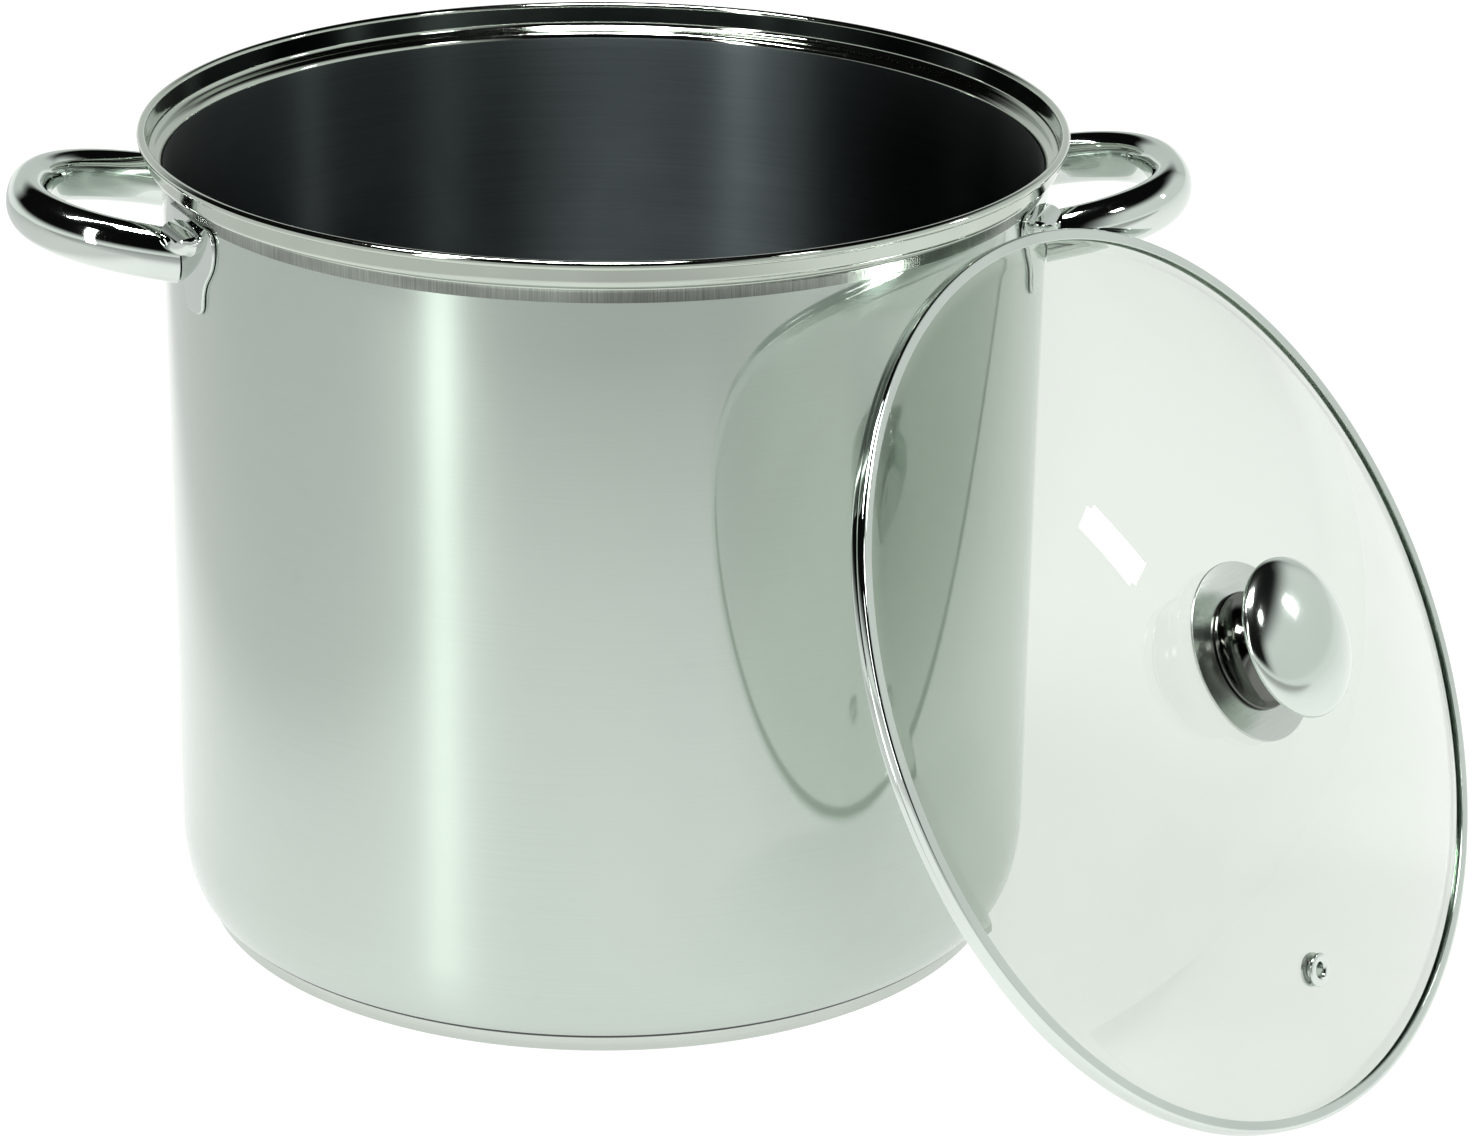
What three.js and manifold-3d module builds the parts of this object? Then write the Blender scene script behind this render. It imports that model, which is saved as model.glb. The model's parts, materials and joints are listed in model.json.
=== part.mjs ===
// Water bath canner: a tall stainless stock pot with a lid-seat rim, an encapsulated base,
// two hollow loop handles, a domed glass lid leaning on the pot, and a wire jar rack inside.
// Millimetres, +Z up. The origin is the centre of the flat underside of the pot's base, and
// +Y points away from the side that the lid leans on.
import * as THREE from "three";
import { mergeVertices } from "three/addons/utils/BufferGeometryUtils.js";
import Module from "manifold-3d";

const wasm = await Module();
wasm.setup();

// ---------------------------------------------------------------- driving dimensions

const GAP = 0.3; // clearance left between two pieces that touch

// Pot shell
const POT_RADIUS = 153; // outside of the straight wall
const POT_HEIGHT = 286.6; // floor to the top of the rolled bead
const POT_SHEET = 0.8;
const POT_CORNER_RUN = 8.7; // how far the bottom corner comes in
const POT_CORNER_RISE = 26.6; // how high the bottom corner reaches up the wall
const SEAT_STEP = 5.6; // radial step from the wall out to the ring around the lid
const SEAT_DEPTH = 9.4; // top of the bead down to the ledge that carries the lid
const BEAD_ROLL_RADIUS = 1.2; // centre of the rolled edge's sheet
const BEAD_ROLL_DEG = 255; // how far round the edge is rolled

// Encapsulated base
const CAP_INSET = 9.2; // cap stands this far inside the straight wall
const CAP_HEIGHT = 5.5;
const CAP_SHEET = 0.8;
const CAP_EDGE = 1.6; // chamfer where the cap meets the floor

// Loop handles
const HANDLE_TURN_DEG = 4; // the pair of handles is turned by this about the pot's axis
const HANDLE_DROP = 32.8; // top of the pot down to the tube's centre at the wall
const HANDLE_HALF_SPAN = 42.4; // tube centre to the handle's middle plane
const HANDLE_REACH = 53.3; // how far the tube's centre stands out from the wall
const HANDLE_TILT_DEG = 10.2; // the loop rises outwards
const HANDLE_SQUARENESS = 2.36; // exponent of the loop's rounded outline
const TUBE_HALF_WIDTH = 7.2;
const TUBE_HALF_HEIGHT = 9.3;
const TUBE_WALL = 1.2;

// Brackets between the handles and the wall
const BRACKET_SHEET = 1.2;
const BRACKET_INNER = 12.3; // along the wall, from the tube's centre towards the handle's middle
const BRACKET_OUTER = 33.2; // along the wall, from the tube's centre away from the middle
const BRACKET_RISE = 17.7; // above the tube's centre
const BRACKET_FALL = 6.3; // below the tube's centre
const TONGUE_HALF_WIDTH = 6.9;
const TONGUE_OFFSET = 16.8; // along the wall, from the tube's centre outwards
const TONGUE_DROP = 8; // how far the welded tongue hangs below the bracket
const BOSS_OFFSET = 11; // along the wall, from the tube's centre outwards
const BOSS_RAISE = 1; // above the middle of the bracket
const BOSS_HALF_WIDTH = 12.5;
const BOSS_HALF_HEIGHT = 10.5;
const BOSS_STANDOFF = 8;
const PLUG_LENGTH = 9; // part of the bracket that reaches into the tube

// Lid: band and glass, drawn with the lid's underside at z = 0 and its dome up
const LID_CLEARANCE = 3.4; // between the band and the ring around the lid's seat
const BAND_SHEET = 0.6;
const BAND_ROOM = 0.4; // between each lip and the glass
const BAND_LIP = 4; // width of the lips that hold the glass
const GLASS_THICKNESS = 4;
const GLASS_FLAT = 4.6; // width of the flat edge that the band holds
const DOME_RISE = 27;
const GLASS_BORE_RADIUS = 4.5;

// Steam vent
const VENT_INSET = 47.9; // from the lid's edge
const VENT_TURN_DEG = -6;
const VENT_FLANGE_RADIUS = 5.7;
const VENT_TUBE_RADIUS = 3.2;
const VENT_BORE_RADIUS = 2.4;
const VENT_SHEET = 1;

// Knob
const SCREW_RADIUS = 2.7;
const SCREW_HEAD_RADIUS = 6;
const SCREW_HEAD_HEIGHT = 2.8;
const SCREW_REACH = 10; // length of thread inside the neck
const GASKET_THICKNESS = 1.2;
const GASKET_RADIUS = 17;
const WASHER_RADIUS = 19;
const WASHER_THICKNESS = 0.8;
const FLANGE_RADIUS = 30.5;
const FLANGE_THICKNESS = 0.8;
const NECK_FOOT_RADIUS = 20;
const NECK_WAIST_RADIUS = 10.5;
const NECK_TOP_RADIUS = 13.5;
const NECK_FOOT_HEIGHT = 1.2;
const NECK_HEIGHT = 14.5;
const NECK_BEAD = 1; // width of the bead around the neck's foot
const NECK_LAND = 3; // from the end of the hollow curve to the neck's top
const CAP_KNOB_RADIUS = 27;
const CAP_KNOB_SKIRT = 3.2; // from the neck up to the widest circle
const CAP_KNOB_DOME = 9;
const CAP_KNOB_LIP = 1; // thickness of the cap's edge

// How the lid leans on the pot
const LID_FACING_DEG = -38.6; // azimuth that the dome faces
const LID_LEAN_DEG = 29.4; // how far the dome's axis points up from level
const LID_SIDE_SHIFT = 10.6; // sideways from the line through the pot's axis
const LID_REST_GAP = 3; // left between the lid and whatever it leans on
const FLOOR_GAP = GAP;

// Jar rack
const RACK_CLEARANCE = 17; // between the outer ring and the pot's inside wall
const RACK_WIRE_RADIUS = 2.2;
const RACK_FOOT_HEIGHT = 18;
const RACK_FOOT_HALF_WIDTH = 16;
const RACK_FOOT_COUNT = 4;
const RACK_CROSS_RADIUS = 1.9;
const RACK_CROSS_SPACING = 36;
const RACK_CROSS_COUNT = 6;
const RUNNER_OFFSET = 46;
const BAIL_RADIUS = 2;
const BAIL_HALF_WIDTH = 30;
const BAIL_END = 22.6; // each folded bail stops this far from the rack's middle
const BAIL_PIN = 13; // how far each hinge pin reaches past the bail's side
const BAIL_CORNER = 12;
const EYE_WIRE_RADIUS = 1.2;
const RACK_FOOT_TURN_DEG = 45; // the first foot, from the rack's +X

// Facets
const ROUND_LARGE = 48;
const ROUND_KNOB = 24;
const ROUND_SMALL = 16;
const ROUND_WIRE = 6;
const ROUND_TUBE = 12;
const ROUND_RING = 36; // steps around the rack's outer ring
const ROUND_EYE = 12;
const CORNER_STEPS = 5;
const BEND_STEPS = 2;
const ROLL_STEPS = 6;
const WIRE_BEND_STEPS = 3;
const LOOP_STEPS = 16;
const DOME_STEPS = 7;

// ---------------------------------------------------------------- materials

const metal = (color, roughness) => () =>
  new THREE.MeshStandardMaterial({ color, roughness, metalness: 1 });
const soft = (color, roughness) => () =>
  new THREE.MeshStandardMaterial({ color, roughness, metalness: 0 });

const brushedSteel = metal(0xacb9b0, 0.32);
const polishedSteel = metal(0xc4cec6, 0.1);
const castAluminium = metal(0xb4b8b4, 0.5);
const chromeWire = metal(0xc9cfcc, 0.15);
const silicone = soft(0xd9ded8, 0.6);
const temperedGlass = () =>
  new THREE.MeshStandardMaterial({
    color: 0xdfe8df,
    roughness: 0.04,
    metalness: 0,
    transparent: true,
    opacity: 0.25,
  });

// ---------------------------------------------------------------- geometry helpers

const rad = THREE.MathUtils.degToRad;
const point = (x, y) => new THREE.Vector2(x, y);

/** Points along an ellipse arc, first and last included. */
function arc(cx, cy, rx, ry, fromDeg, toDeg, steps) {
  return Array.from({ length: steps + 1 }, (_, i) => {
    const a = rad(fromDeg + ((toDeg - fromDeg) * i) / steps);
    return point(cx + rx * Math.cos(a), cy + ry * Math.sin(a));
  });
}

/** A solid of revolution from an outline in (radius, height), wound so that it faces out. */
function turned(outline, segments) {
  const onAxis = outline[0].x === 0 && outline[outline.length - 1].x === 0;
  const loop = onAxis ? outline : [...outline, outline[0].clone()];
  const ordered = THREE.ShapeUtils.area(loop) < 0 ? [...loop].reverse() : loop;
  return new THREE.LatheGeometry(ordered, segments).rotateX(Math.PI / 2);
}

/** The closed outline of a sheet of even thickness that follows a path. */
function sheetOutline(path, thickness) {
  const side = (sign) =>
    path.map((p, i) => {
      const before = path[Math.max(i - 1, 0)];
      const after = path[Math.min(i + 1, path.length - 1)];
      const into = p.clone().sub(before);
      const out = after.clone().sub(p);
      const a = (i === 0 ? out : into).clone().normalize();
      const b = (i === path.length - 1 ? into : out).clone().normalize();
      const normal = point(-a.y - b.y, a.x + b.x).normalize();
      const stretch = 1 / Math.max(normal.dot(point(-a.y, a.x)), 0.5);
      return p.clone().addScaledVector(normal, (sign * stretch * thickness) / 2);
    });
  return [...side(1), ...side(-1).reverse()];
}

/** A flat ring, or a disc when the inner radius is 0. */
function disc(inner, outer, bottom, top, segments) {
  const outline = [point(inner, bottom), point(outer, bottom), point(outer, top), point(inner, top)];
  return turned(outline, segments);
}

function ellipseShape(halfX, halfY, segments) {
  return new THREE.Shape(arc(0, 0, halfX, halfY, 0, 360, segments).slice(0, -1));
}

/** A section swept along straight stretches and rounded corners, kept exact. */
function sweptAlongBends(section, points) {
  const path = new THREE.CurvePath();
  points.slice(1).forEach((p, i) => path.add(new THREE.LineCurve3(points[i], p)));
  path.getPoint = (u) => points[Math.round(u * (points.length - 1))].clone();
  path.getTangentAt = (u) => {
    const i = Math.round(u * (points.length - 1));
    const before = points[Math.max(i - 1, 0)];
    const after = points[Math.min(i + 1, points.length - 1)];
    return after.clone().sub(before).normalize();
  };
  const steps = points.length - 1;
  return new THREE.ExtrudeGeometry(section, { steps, extrudePath: path, bevelEnabled: false });
}

function solidOf(geometry) {
  const bare = geometry.clone();
  bare.deleteAttribute("normal");
  bare.deleteAttribute("uv");
  const merged = mergeVertices(bare, 1e-4);
  const vertProperties = merged.attributes.position.array;
  const triVerts = new Uint32Array(merged.index.array);
  return new wasm.Manifold(new wasm.Mesh({ numProp: 3, vertProperties, triVerts }));
}

function geometryOf(solid) {
  const mesh = solid.getMesh();
  const geometry = new THREE.BufferGeometry();
  const position = new Float32Array(mesh.numVert * 3);
  for (let i = 0; i < mesh.numVert; i++) {
    const from = i * mesh.numProp;
    position.set(mesh.vertProperties.subarray(from, from + 3), i * 3);
  }
  geometry.setAttribute("position", new THREE.BufferAttribute(position, 3));
  geometry.setIndex(new THREE.BufferAttribute(mesh.triVerts, 1));
  geometry.computeVertexNormals();
  return geometry;
}

function piece(parent, name, geometry, material) {
  const mesh = new THREE.Mesh(geometry, material());
  mesh.name = name;
  parent.add(mesh);
  return mesh;
}

// ---------------------------------------------------------------- pot

const potBottom = CAP_HEIGHT + GAP;
const wallMid = POT_RADIUS - POT_SHEET / 2;
const ringMid = wallMid + SEAT_STEP;
const seatMid = POT_HEIGHT - SEAT_DEPTH - POT_SHEET / 2;
const shoulderFoot = seatMid - SEAT_STEP / 2;
const beadMid = POT_HEIGHT - POT_SHEET / 2 - BEAD_ROLL_RADIUS;
const beadRadius = ringMid + 2 * BEAD_ROLL_RADIUS + POT_SHEET / 2; // outside of the bead
const potFloor = potBottom + POT_SHEET; // inside floor
const capRadius = POT_RADIUS - CAP_INSET;

function potBody() {
  const bend = SEAT_STEP / 2;
  const run = POT_CORNER_RUN - POT_SHEET / 2;
  const rise = POT_CORNER_RISE - POT_SHEET / 2;
  const cornerBottom = potBottom + POT_SHEET / 2;
  const path = [
    point(0, cornerBottom),
    ...arc(wallMid - run, cornerBottom + rise, run, rise, -90, 0, CORNER_STEPS),
    ...arc(wallMid + bend, shoulderFoot, bend, bend, 180, 90, BEND_STEPS),
    ...arc(wallMid + bend, seatMid + bend, bend, bend, -90, 0, BEND_STEPS).slice(1),
    ...arc(ringMid + BEAD_ROLL_RADIUS, beadMid, BEAD_ROLL_RADIUS, BEAD_ROLL_RADIUS,
      180, 180 - BEAD_ROLL_DEG, ROLL_STEPS),
  ];
  return turned(sheetOutline(path, POT_SHEET), ROUND_LARGE);
}

function baseCap() {
  const wall = capRadius - CAP_SHEET;
  return turned([
    point(0, 0),
    point(capRadius - CAP_EDGE, 0),
    point(capRadius, CAP_EDGE),
    point(capRadius, CAP_HEIGHT),
    point(wall, CAP_HEIGHT),
    point(wall, CAP_SHEET + CAP_EDGE / 2),
    point(wall - CAP_EDGE / 2, CAP_SHEET),
    point(0, CAP_SHEET),
  ], ROUND_LARGE);
}

function heatDisc() {
  const radius = capRadius - CAP_SHEET - GAP;
  const bottom = CAP_SHEET + GAP;
  return turned([
    point(0, bottom),
    point(radius - CAP_EDGE, bottom),
    point(radius, bottom + CAP_EDGE),
    point(radius, CAP_HEIGHT),
    point(0, CAP_HEIGHT),
  ], ROUND_LARGE);
}

// ---------------------------------------------------------------- handles
// Drawn with the handle pointing along +X from the pot's axis.

const legReach = Math.sqrt(POT_RADIUS ** 2 - HANDLE_HALF_SPAN ** 2); // wall behind each leg
const handleHeight = POT_HEIGHT - HANDLE_DROP;

/** Centre line of the loop in its own plane, with both legs run on into the pot. */
function loopPoints() {
  const power = 2 / HANDLE_SQUARENESS;
  const bend = Array.from({ length: LOOP_STEPS - 1 }, (_, i) => {
    const a = (Math.PI * (i + 1)) / LOOP_STEPS;
    const out = HANDLE_REACH * Math.sin(a) ** power;
    const across = -HANDLE_HALF_SPAN * Math.sign(Math.cos(a)) * Math.abs(Math.cos(a)) ** power;
    return new THREE.Vector3(out, across, 0);
  });
  const inside = -2 * TUBE_HALF_WIDTH;
  return [
    new THREE.Vector3(inside, -HANDLE_HALF_SPAN, 0),
    ...bend,
    new THREE.Vector3(inside, HANDLE_HALF_SPAN, 0),
  ];
}

/** The loop's plane set on the wall at the handle's height, rising outwards. */
const loopPlacement = new THREE.Matrix4()
  .makeTranslation(legReach, 0, handleHeight)
  .multiply(new THREE.Matrix4().makeRotationY(-rad(HANDLE_TILT_DEG)));

function loopGeometry(grow, hole) {
  const section = ellipseShape(TUBE_HALF_HEIGHT + grow, TUBE_HALF_WIDTH + grow, ROUND_TUBE);
  if (hole) {
    const bore = arc(0, 0, TUBE_HALF_HEIGHT - TUBE_WALL, TUBE_HALF_WIDTH - TUBE_WALL, 0, 360, ROUND_TUBE);
    section.holes.push(new THREE.Path(bore.slice(0, -1)));
  }
  return sweptAlongBends(section, loopPoints()).applyMatrix4(loopPlacement);
}

/** A solid column as tall as the pot, to cut what must stay outside its wall. */
function potColumn(radius) {
  return solidOf(disc(0, radius, 0, POT_HEIGHT + TUBE_HALF_HEIGHT, 2 * ROUND_LARGE));
}

const bracketInside = POT_RADIUS + GAP;
const bracketOutside = bracketInside + BRACKET_SHEET;

function handleLoop() {
  return geometryOf(solidOf(loopGeometry(0, true)).subtract(potColumn(bracketOutside + GAP)));
}

/** Angle from the handle's middle plane of a place along the wall beside the tube's centre. */
function wallAngle(along) {
  return Math.asin(HANDLE_HALF_SPAN / POT_RADIUS) + along / POT_RADIUS;
}

/** A plate bent round the wall between two angles and two heights. */
function wallPlate(from, to, bottom, top) {
  const far = 2 * POT_RADIUS;
  const corner = (angle) => point(far * Math.cos(angle), far * Math.sin(angle));
  const wedge = new THREE.Shape([point(0, 0), corner(from), corner(to)]);
  const options = { depth: top - bottom, bevelEnabled: false };
  const block = new THREE.ExtrudeGeometry(wedge, options).translate(0, 0, bottom);
  return solidOf(block).intersect(potColumn(bracketOutside));
}

/** The part of a bracket that reaches into the tube's end and holds it. */
function tubePlug(side) {
  const room = TUBE_WALL + GAP;
  const section = ellipseShape(TUBE_HALF_HEIGHT - room, TUBE_HALF_WIDTH - room, ROUND_TUBE);
  const [start, next] = loopPoints();
  const share = (PLUG_LENGTH - start.x) / (next.x - start.x);
  const points = [start, start.clone().lerp(next, share / 2), start.clone().lerp(next, share)];
  points.forEach((p) => (p.y *= -side));
  return solidOf(sweptAlongBends(section, points).applyMatrix4(loopPlacement));
}

/** A bracket: plate, welded tongue, pressed boss beside the tube, and the plug in it. */
function handleBracket(side) {
  const turn = (along) => side * wallAngle(along);
  const span = (near, out) => (side > 0 ? [turn(near), turn(out)] : [turn(out), turn(near)]);
  const tongue = span(TONGUE_OFFSET - TONGUE_HALF_WIDTH, TONGUE_OFFSET + TONGUE_HALF_WIDTH);
  const bottom = handleHeight - BRACKET_FALL;
  const top = handleHeight + BRACKET_RISE;
  const boss = solidOf(
    new THREE.SphereGeometry(1, ROUND_TUBE, ROUND_TUBE - 4)
      .rotateX(Math.PI / 2)
      .scale(BOSS_STANDOFF, BOSS_HALF_WIDTH, BOSS_HALF_HEIGHT)
      .translate(bracketInside, 0, (top + bottom) / 2 + BOSS_RAISE)
      .rotateZ(turn(BOSS_OFFSET)),
  );
  const shaped = wallPlate(...span(-BRACKET_INNER, BRACKET_OUTER), bottom, top)
    .add(wallPlate(...tongue, bottom - TONGUE_DROP, bottom + BRACKET_SHEET))
    .add(boss)
    .subtract(solidOf(loopGeometry(GAP, false)).subtract(potColumn(bracketOutside)))
    .add(tubePlug(side))
    .subtract(potColumn(bracketInside));
  return geometryOf(shaped);
}

// ---------------------------------------------------------------- lid

const lidRadius = ringMid - POT_SHEET / 2 - LID_CLEARANCE;
const bandHeight = GLASS_THICKNESS + 2 * (BAND_SHEET + BAND_ROOM);
const ventDistance = lidRadius - VENT_INSET;
const glassEdgeBottom = (bandHeight - GLASS_THICKNESS) / 2;
const glassEdgeTop = glassEdgeBottom + GLASS_THICKNESS;
const glassRadius = lidRadius - BAND_SHEET - GAP;
const domeRim = glassRadius - GLASS_FLAT;
const domeSphere = (domeRim ** 2 + DOME_RISE ** 2) / (2 * DOME_RISE);
const domeTop = glassEdgeTop + DOME_RISE;
const domeUnder = domeTop - GLASS_THICKNESS;

/** Height of the dome's upper face at a distance from the lid's axis. */
function domeHeight(distance) {
  return domeTop - domeSphere + Math.sqrt(domeSphere ** 2 - distance ** 2);
}

function lidGlass() {
  const upper = Array.from({ length: DOME_STEPS + 1 }, (_, i) => {
    const r = GLASS_BORE_RADIUS + ((domeRim - GLASS_BORE_RADIUS) * i) / DOME_STEPS;
    return point(r, domeHeight(r));
  });
  const lower = upper.map((p) => point(p.x, p.y - GLASS_THICKNESS)).reverse();
  const edge = [point(glassRadius, glassEdgeTop), point(glassRadius, glassEdgeBottom)];
  const shell = solidOf(turned([...upper, ...edge, ...lower], ROUND_LARGE));
  const hole = disc(0, VENT_TUBE_RADIUS + GAP, -2 * GLASS_THICKNESS, GLASS_THICKNESS, ROUND_SMALL);
  const cutter = new THREE.Mesh(hole);
  ventPlace(cutter);
  cutter.updateMatrix();
  return geometryOf(shell.subtract(solidOf(hole.applyMatrix4(cutter.matrix))));
}

function lidBand() {
  const inner = lidRadius - BAND_LIP;
  const slot = lidRadius - BAND_SHEET;
  return turned([
    point(inner, 0),
    point(lidRadius, 0),
    point(lidRadius, bandHeight),
    point(inner, bandHeight),
    point(inner, bandHeight - BAND_SHEET),
    point(slot, bandHeight - BAND_SHEET),
    point(slot, BAND_SHEET),
    point(inner, BAND_SHEET),
  ], ROUND_LARGE);
}

/** Sets a piece on the dome's upper face at the vent, square to the glass. */
function ventPlace(object) {
  const turn = rad(VENT_TURN_DEG);
  object.position.set(
    ventDistance * Math.cos(turn),
    ventDistance * Math.sin(turn),
    domeHeight(ventDistance),
  );
  object.rotation.set(0, Math.asin(ventDistance / domeSphere), turn, "ZYX");
}

function ventEyelet() {
  const top = GAP + VENT_SHEET;
  const foot = -(GLASS_THICKNESS + 2 * GAP + VENT_SHEET);
  return turned([
    point(VENT_BORE_RADIUS, foot),
    point(VENT_TUBE_RADIUS, foot),
    point(VENT_TUBE_RADIUS, GAP),
    point(VENT_FLANGE_RADIUS, GAP),
    point(VENT_FLANGE_RADIUS - VENT_SHEET / 2, top),
    point(VENT_BORE_RADIUS + VENT_SHEET / 2, top),
    point(VENT_BORE_RADIUS, top - VENT_SHEET / 2),
  ], ROUND_SMALL);
}

function ventBackingRing() {
  const top = -GLASS_THICKNESS - GAP;
  return disc(VENT_TUBE_RADIUS + GAP, VENT_FLANGE_RADIUS, top - VENT_SHEET, top, ROUND_SMALL);
}

// ---------------------------------------------------------------- knob

const upperGasketBottom = domeTop + GAP;
const flangeBottom = upperGasketBottom + GASKET_THICKNESS + GAP;
const neckBottom = flangeBottom + FLANGE_THICKNESS + GAP;
const neckTop = neckBottom + NECK_HEIGHT;
const knobBottom = neckTop + GAP;
const domeSag = domeHeight(0) - domeHeight(WASHER_RADIUS);
const lowerGasketTop = domeUnder - domeSag - GAP;
const washerTop = lowerGasketTop - GASKET_THICKNESS - GAP;
const screwHeadTop = washerTop - WASHER_THICKNESS - GAP;
const neckCurve = NECK_FOOT_RADIUS - NECK_BEAD;

function knobNeck() {
  const bore = SCREW_RADIUS + GAP;
  const boreTop = neckBottom + SCREW_REACH + 2 * GAP;
  const waist = neckBottom + NECK_FOOT_HEIGHT;
  return turned([
    point(0, boreTop),
    point(bore, boreTop),
    point(bore, neckBottom),
    point(NECK_FOOT_RADIUS, neckBottom),
    point(NECK_FOOT_RADIUS, waist),
    ...arc(neckCurve, neckTop - NECK_LAND, neckCurve - NECK_WAIST_RADIUS,
      neckTop - NECK_LAND - waist, 270, 180, CORNER_STEPS - 1),
    point(NECK_TOP_RADIUS, neckTop),
    point(0, neckTop),
  ], ROUND_KNOB);
}

function knobCap() {
  const widest = knobBottom + CAP_KNOB_SKIRT;
  return turned([
    point(0, knobBottom),
    point(NECK_TOP_RADIUS, knobBottom),
    point(CAP_KNOB_RADIUS - CAP_KNOB_LIP, widest - CAP_KNOB_LIP),
    ...arc(0, widest, CAP_KNOB_RADIUS, CAP_KNOB_DOME, 0, 90, ROLL_STEPS).slice(0, -1),
    point(0, widest + CAP_KNOB_DOME),
  ], ROUND_KNOB);
}

function knobScrew() {
  const headBottom = screwHeadTop - SCREW_HEAD_HEIGHT;
  const tip = neckBottom + SCREW_REACH;
  const chamfer = SCREW_HEAD_HEIGHT / 3;
  return turned([
    point(0, headBottom),
    point(SCREW_HEAD_RADIUS - 2 * chamfer, headBottom),
    point(SCREW_HEAD_RADIUS, headBottom + 2 * chamfer),
    point(SCREW_HEAD_RADIUS, screwHeadTop),
    point(SCREW_RADIUS, screwHeadTop),
    point(SCREW_RADIUS, tip - chamfer),
    point(SCREW_RADIUS - chamfer, tip),
    point(0, tip),
  ], ROUND_SMALL);
}

// ---------------------------------------------------------------- the leaning lid's place

/** Outside radius of the pot at a height. */
function potRadiusAt(height) {
  const corner = potBottom + POT_CORNER_RISE;
  if (height < potBottom) return capRadius;
  if (height < corner) {
    const down = (corner - height) / POT_CORNER_RISE;
    return POT_RADIUS - POT_CORNER_RUN * (1 - Math.sqrt(1 - down ** 2));
  }
  if (height < shoulderFoot) return POT_RADIUS;
  if (height < beadMid - BEAD_ROLL_RADIUS) return ringMid + POT_SHEET / 2;
  return beadRadius;
}

/** The lid's centre at a distance from the pot's axis, with its lowest edge on the floor. */
function lidCentre(distance) {
  const facing = rad(LID_FACING_DEG);
  return new THREE.Vector3(
    distance * Math.cos(facing) - LID_SIDE_SHIFT * Math.sin(facing),
    distance * Math.sin(facing) + LID_SIDE_SHIFT * Math.cos(facing),
    lidRadius * Math.cos(rad(LID_LEAN_DEG)) + FLOOR_GAP,
  );
}

const lidTurn = new THREE.Euler(0, rad(90 - LID_LEAN_DEG), rad(LID_FACING_DEG), "ZYX");

/** The smallest distance between the lid's band and the pot or a handle. */
function lidClearance(distance) {
  const place = new THREE.Matrix4().makeRotationFromEuler(lidTurn).setPosition(lidCentre(distance));
  const handle = new THREE.Matrix4().makeRotationZ(rad(HANDLE_TURN_DEG)).multiply(loopPlacement);
  const loop = loopPoints().map((p) => p.applyMatrix4(handle));
  const samples = 360;
  let least = Infinity;
  for (let i = 0; i < samples; i++) {
    const a = (2 * Math.PI * i) / samples;
    for (const height of [0, bandHeight]) {
      const p = new THREE.Vector3(lidRadius * Math.cos(a), lidRadius * Math.sin(a), height);
      p.applyMatrix4(place);
      if (p.z <= POT_HEIGHT) least = Math.min(least, Math.hypot(p.x, p.y) - potRadiusAt(p.z));
      for (const q of loop) least = Math.min(least, p.distanceTo(q) - TUBE_HALF_HEIGHT);
    }
  }
  return least;
}

/** The distance at which the lid leans with its rest gap, found by halving. */
function leanDistance() {
  let near = 0;
  let far = 2 * (POT_RADIUS + lidRadius);
  for (let i = 0; i < 40; i++) {
    const middle = (near + far) / 2;
    if (lidClearance(middle) < LID_REST_GAP) near = middle;
    else far = middle;
  }
  return far;
}

// ---------------------------------------------------------------- jar rack

const rackRadius = POT_RADIUS - POT_SHEET - RACK_CLEARANCE - RACK_WIRE_RADIUS; // wire's centre
const rackRingHeight = potFloor + GAP + RACK_FOOT_HEIGHT + RACK_WIRE_RADIUS;
const crossHeight = rackRingHeight + RACK_WIRE_RADIUS + GAP + RACK_CROSS_RADIUS;
const bailHeight = crossHeight + RACK_CROSS_RADIUS + GAP + BAIL_RADIUS;
const eyeSpan = BAIL_HALF_WIDTH + BAIL_PIN - 2 * EYE_WIRE_RADIUS; // eye to the bail's middle
const hingeDistance = Math.sqrt(rackRadius ** 2 - eyeSpan ** 2); // eyes stand on the ring
const bailLength = hingeDistance - BAIL_END;
const eyeRadius = bailHeight - (rackRingHeight + RACK_WIRE_RADIUS + GAP) - EYE_WIRE_RADIUS;
const wireSection = (radius) => ellipseShape(radius, radius, ROUND_WIRE);

/** A torus whose tube's facets have their corners on the stated wire radius. */
function wireRing(radius, wireRadius, segments) {
  return new THREE.TorusGeometry(radius, wireRadius, ROUND_WIRE, segments);
}

/** A straight wire between two points. */
function straightWire(from, to, radius) {
  return sweptAlongBends(wireSection(radius), [from, from.clone().lerp(to, 0.5), to]);
}

function crossWire(y) {
  const half = Math.sqrt(rackRadius ** 2 - y ** 2);
  const end = (x) => new THREE.Vector3(x, y, crossHeight);
  return straightWire(end(-half), end(half), RACK_CROSS_RADIUS);
}

function runner(x) {
  const half = Math.sqrt((rackRadius - RACK_WIRE_RADIUS) ** 2 - x ** 2) - 2 * GAP - RACK_CROSS_RADIUS / 2;
  const end = (y) => new THREE.Vector3(x, y, rackRingHeight);
  return straightWire(end(-half), end(half), RACK_CROSS_RADIUS);
}

/** A foot: a wire bent to a U that hangs from the ring to the pot's floor. */
function rackFoot() {
  const top = rackRingHeight - RACK_WIRE_RADIUS - GAP;
  const bottom = potFloor + GAP + RACK_CROSS_RADIUS;
  const corner = RACK_CROSS_RADIUS * 2;
  const half = RACK_FOOT_HALF_WIDTH;
  const bend = (sign, from, to) =>
    arc(sign * (half - corner), bottom + corner, corner, corner, from, to, WIRE_BEND_STEPS)
      .map((p) => new THREE.Vector3(0, p.x, p.y));
  const end = (sign) => new THREE.Vector3(0, sign * half, top);
  const points = [end(-1), ...bend(-1, 180, 270), ...bend(1, 270, 360), end(1)];
  return sweptAlongBends(wireSection(RACK_CROSS_RADIUS), points);
}

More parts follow.
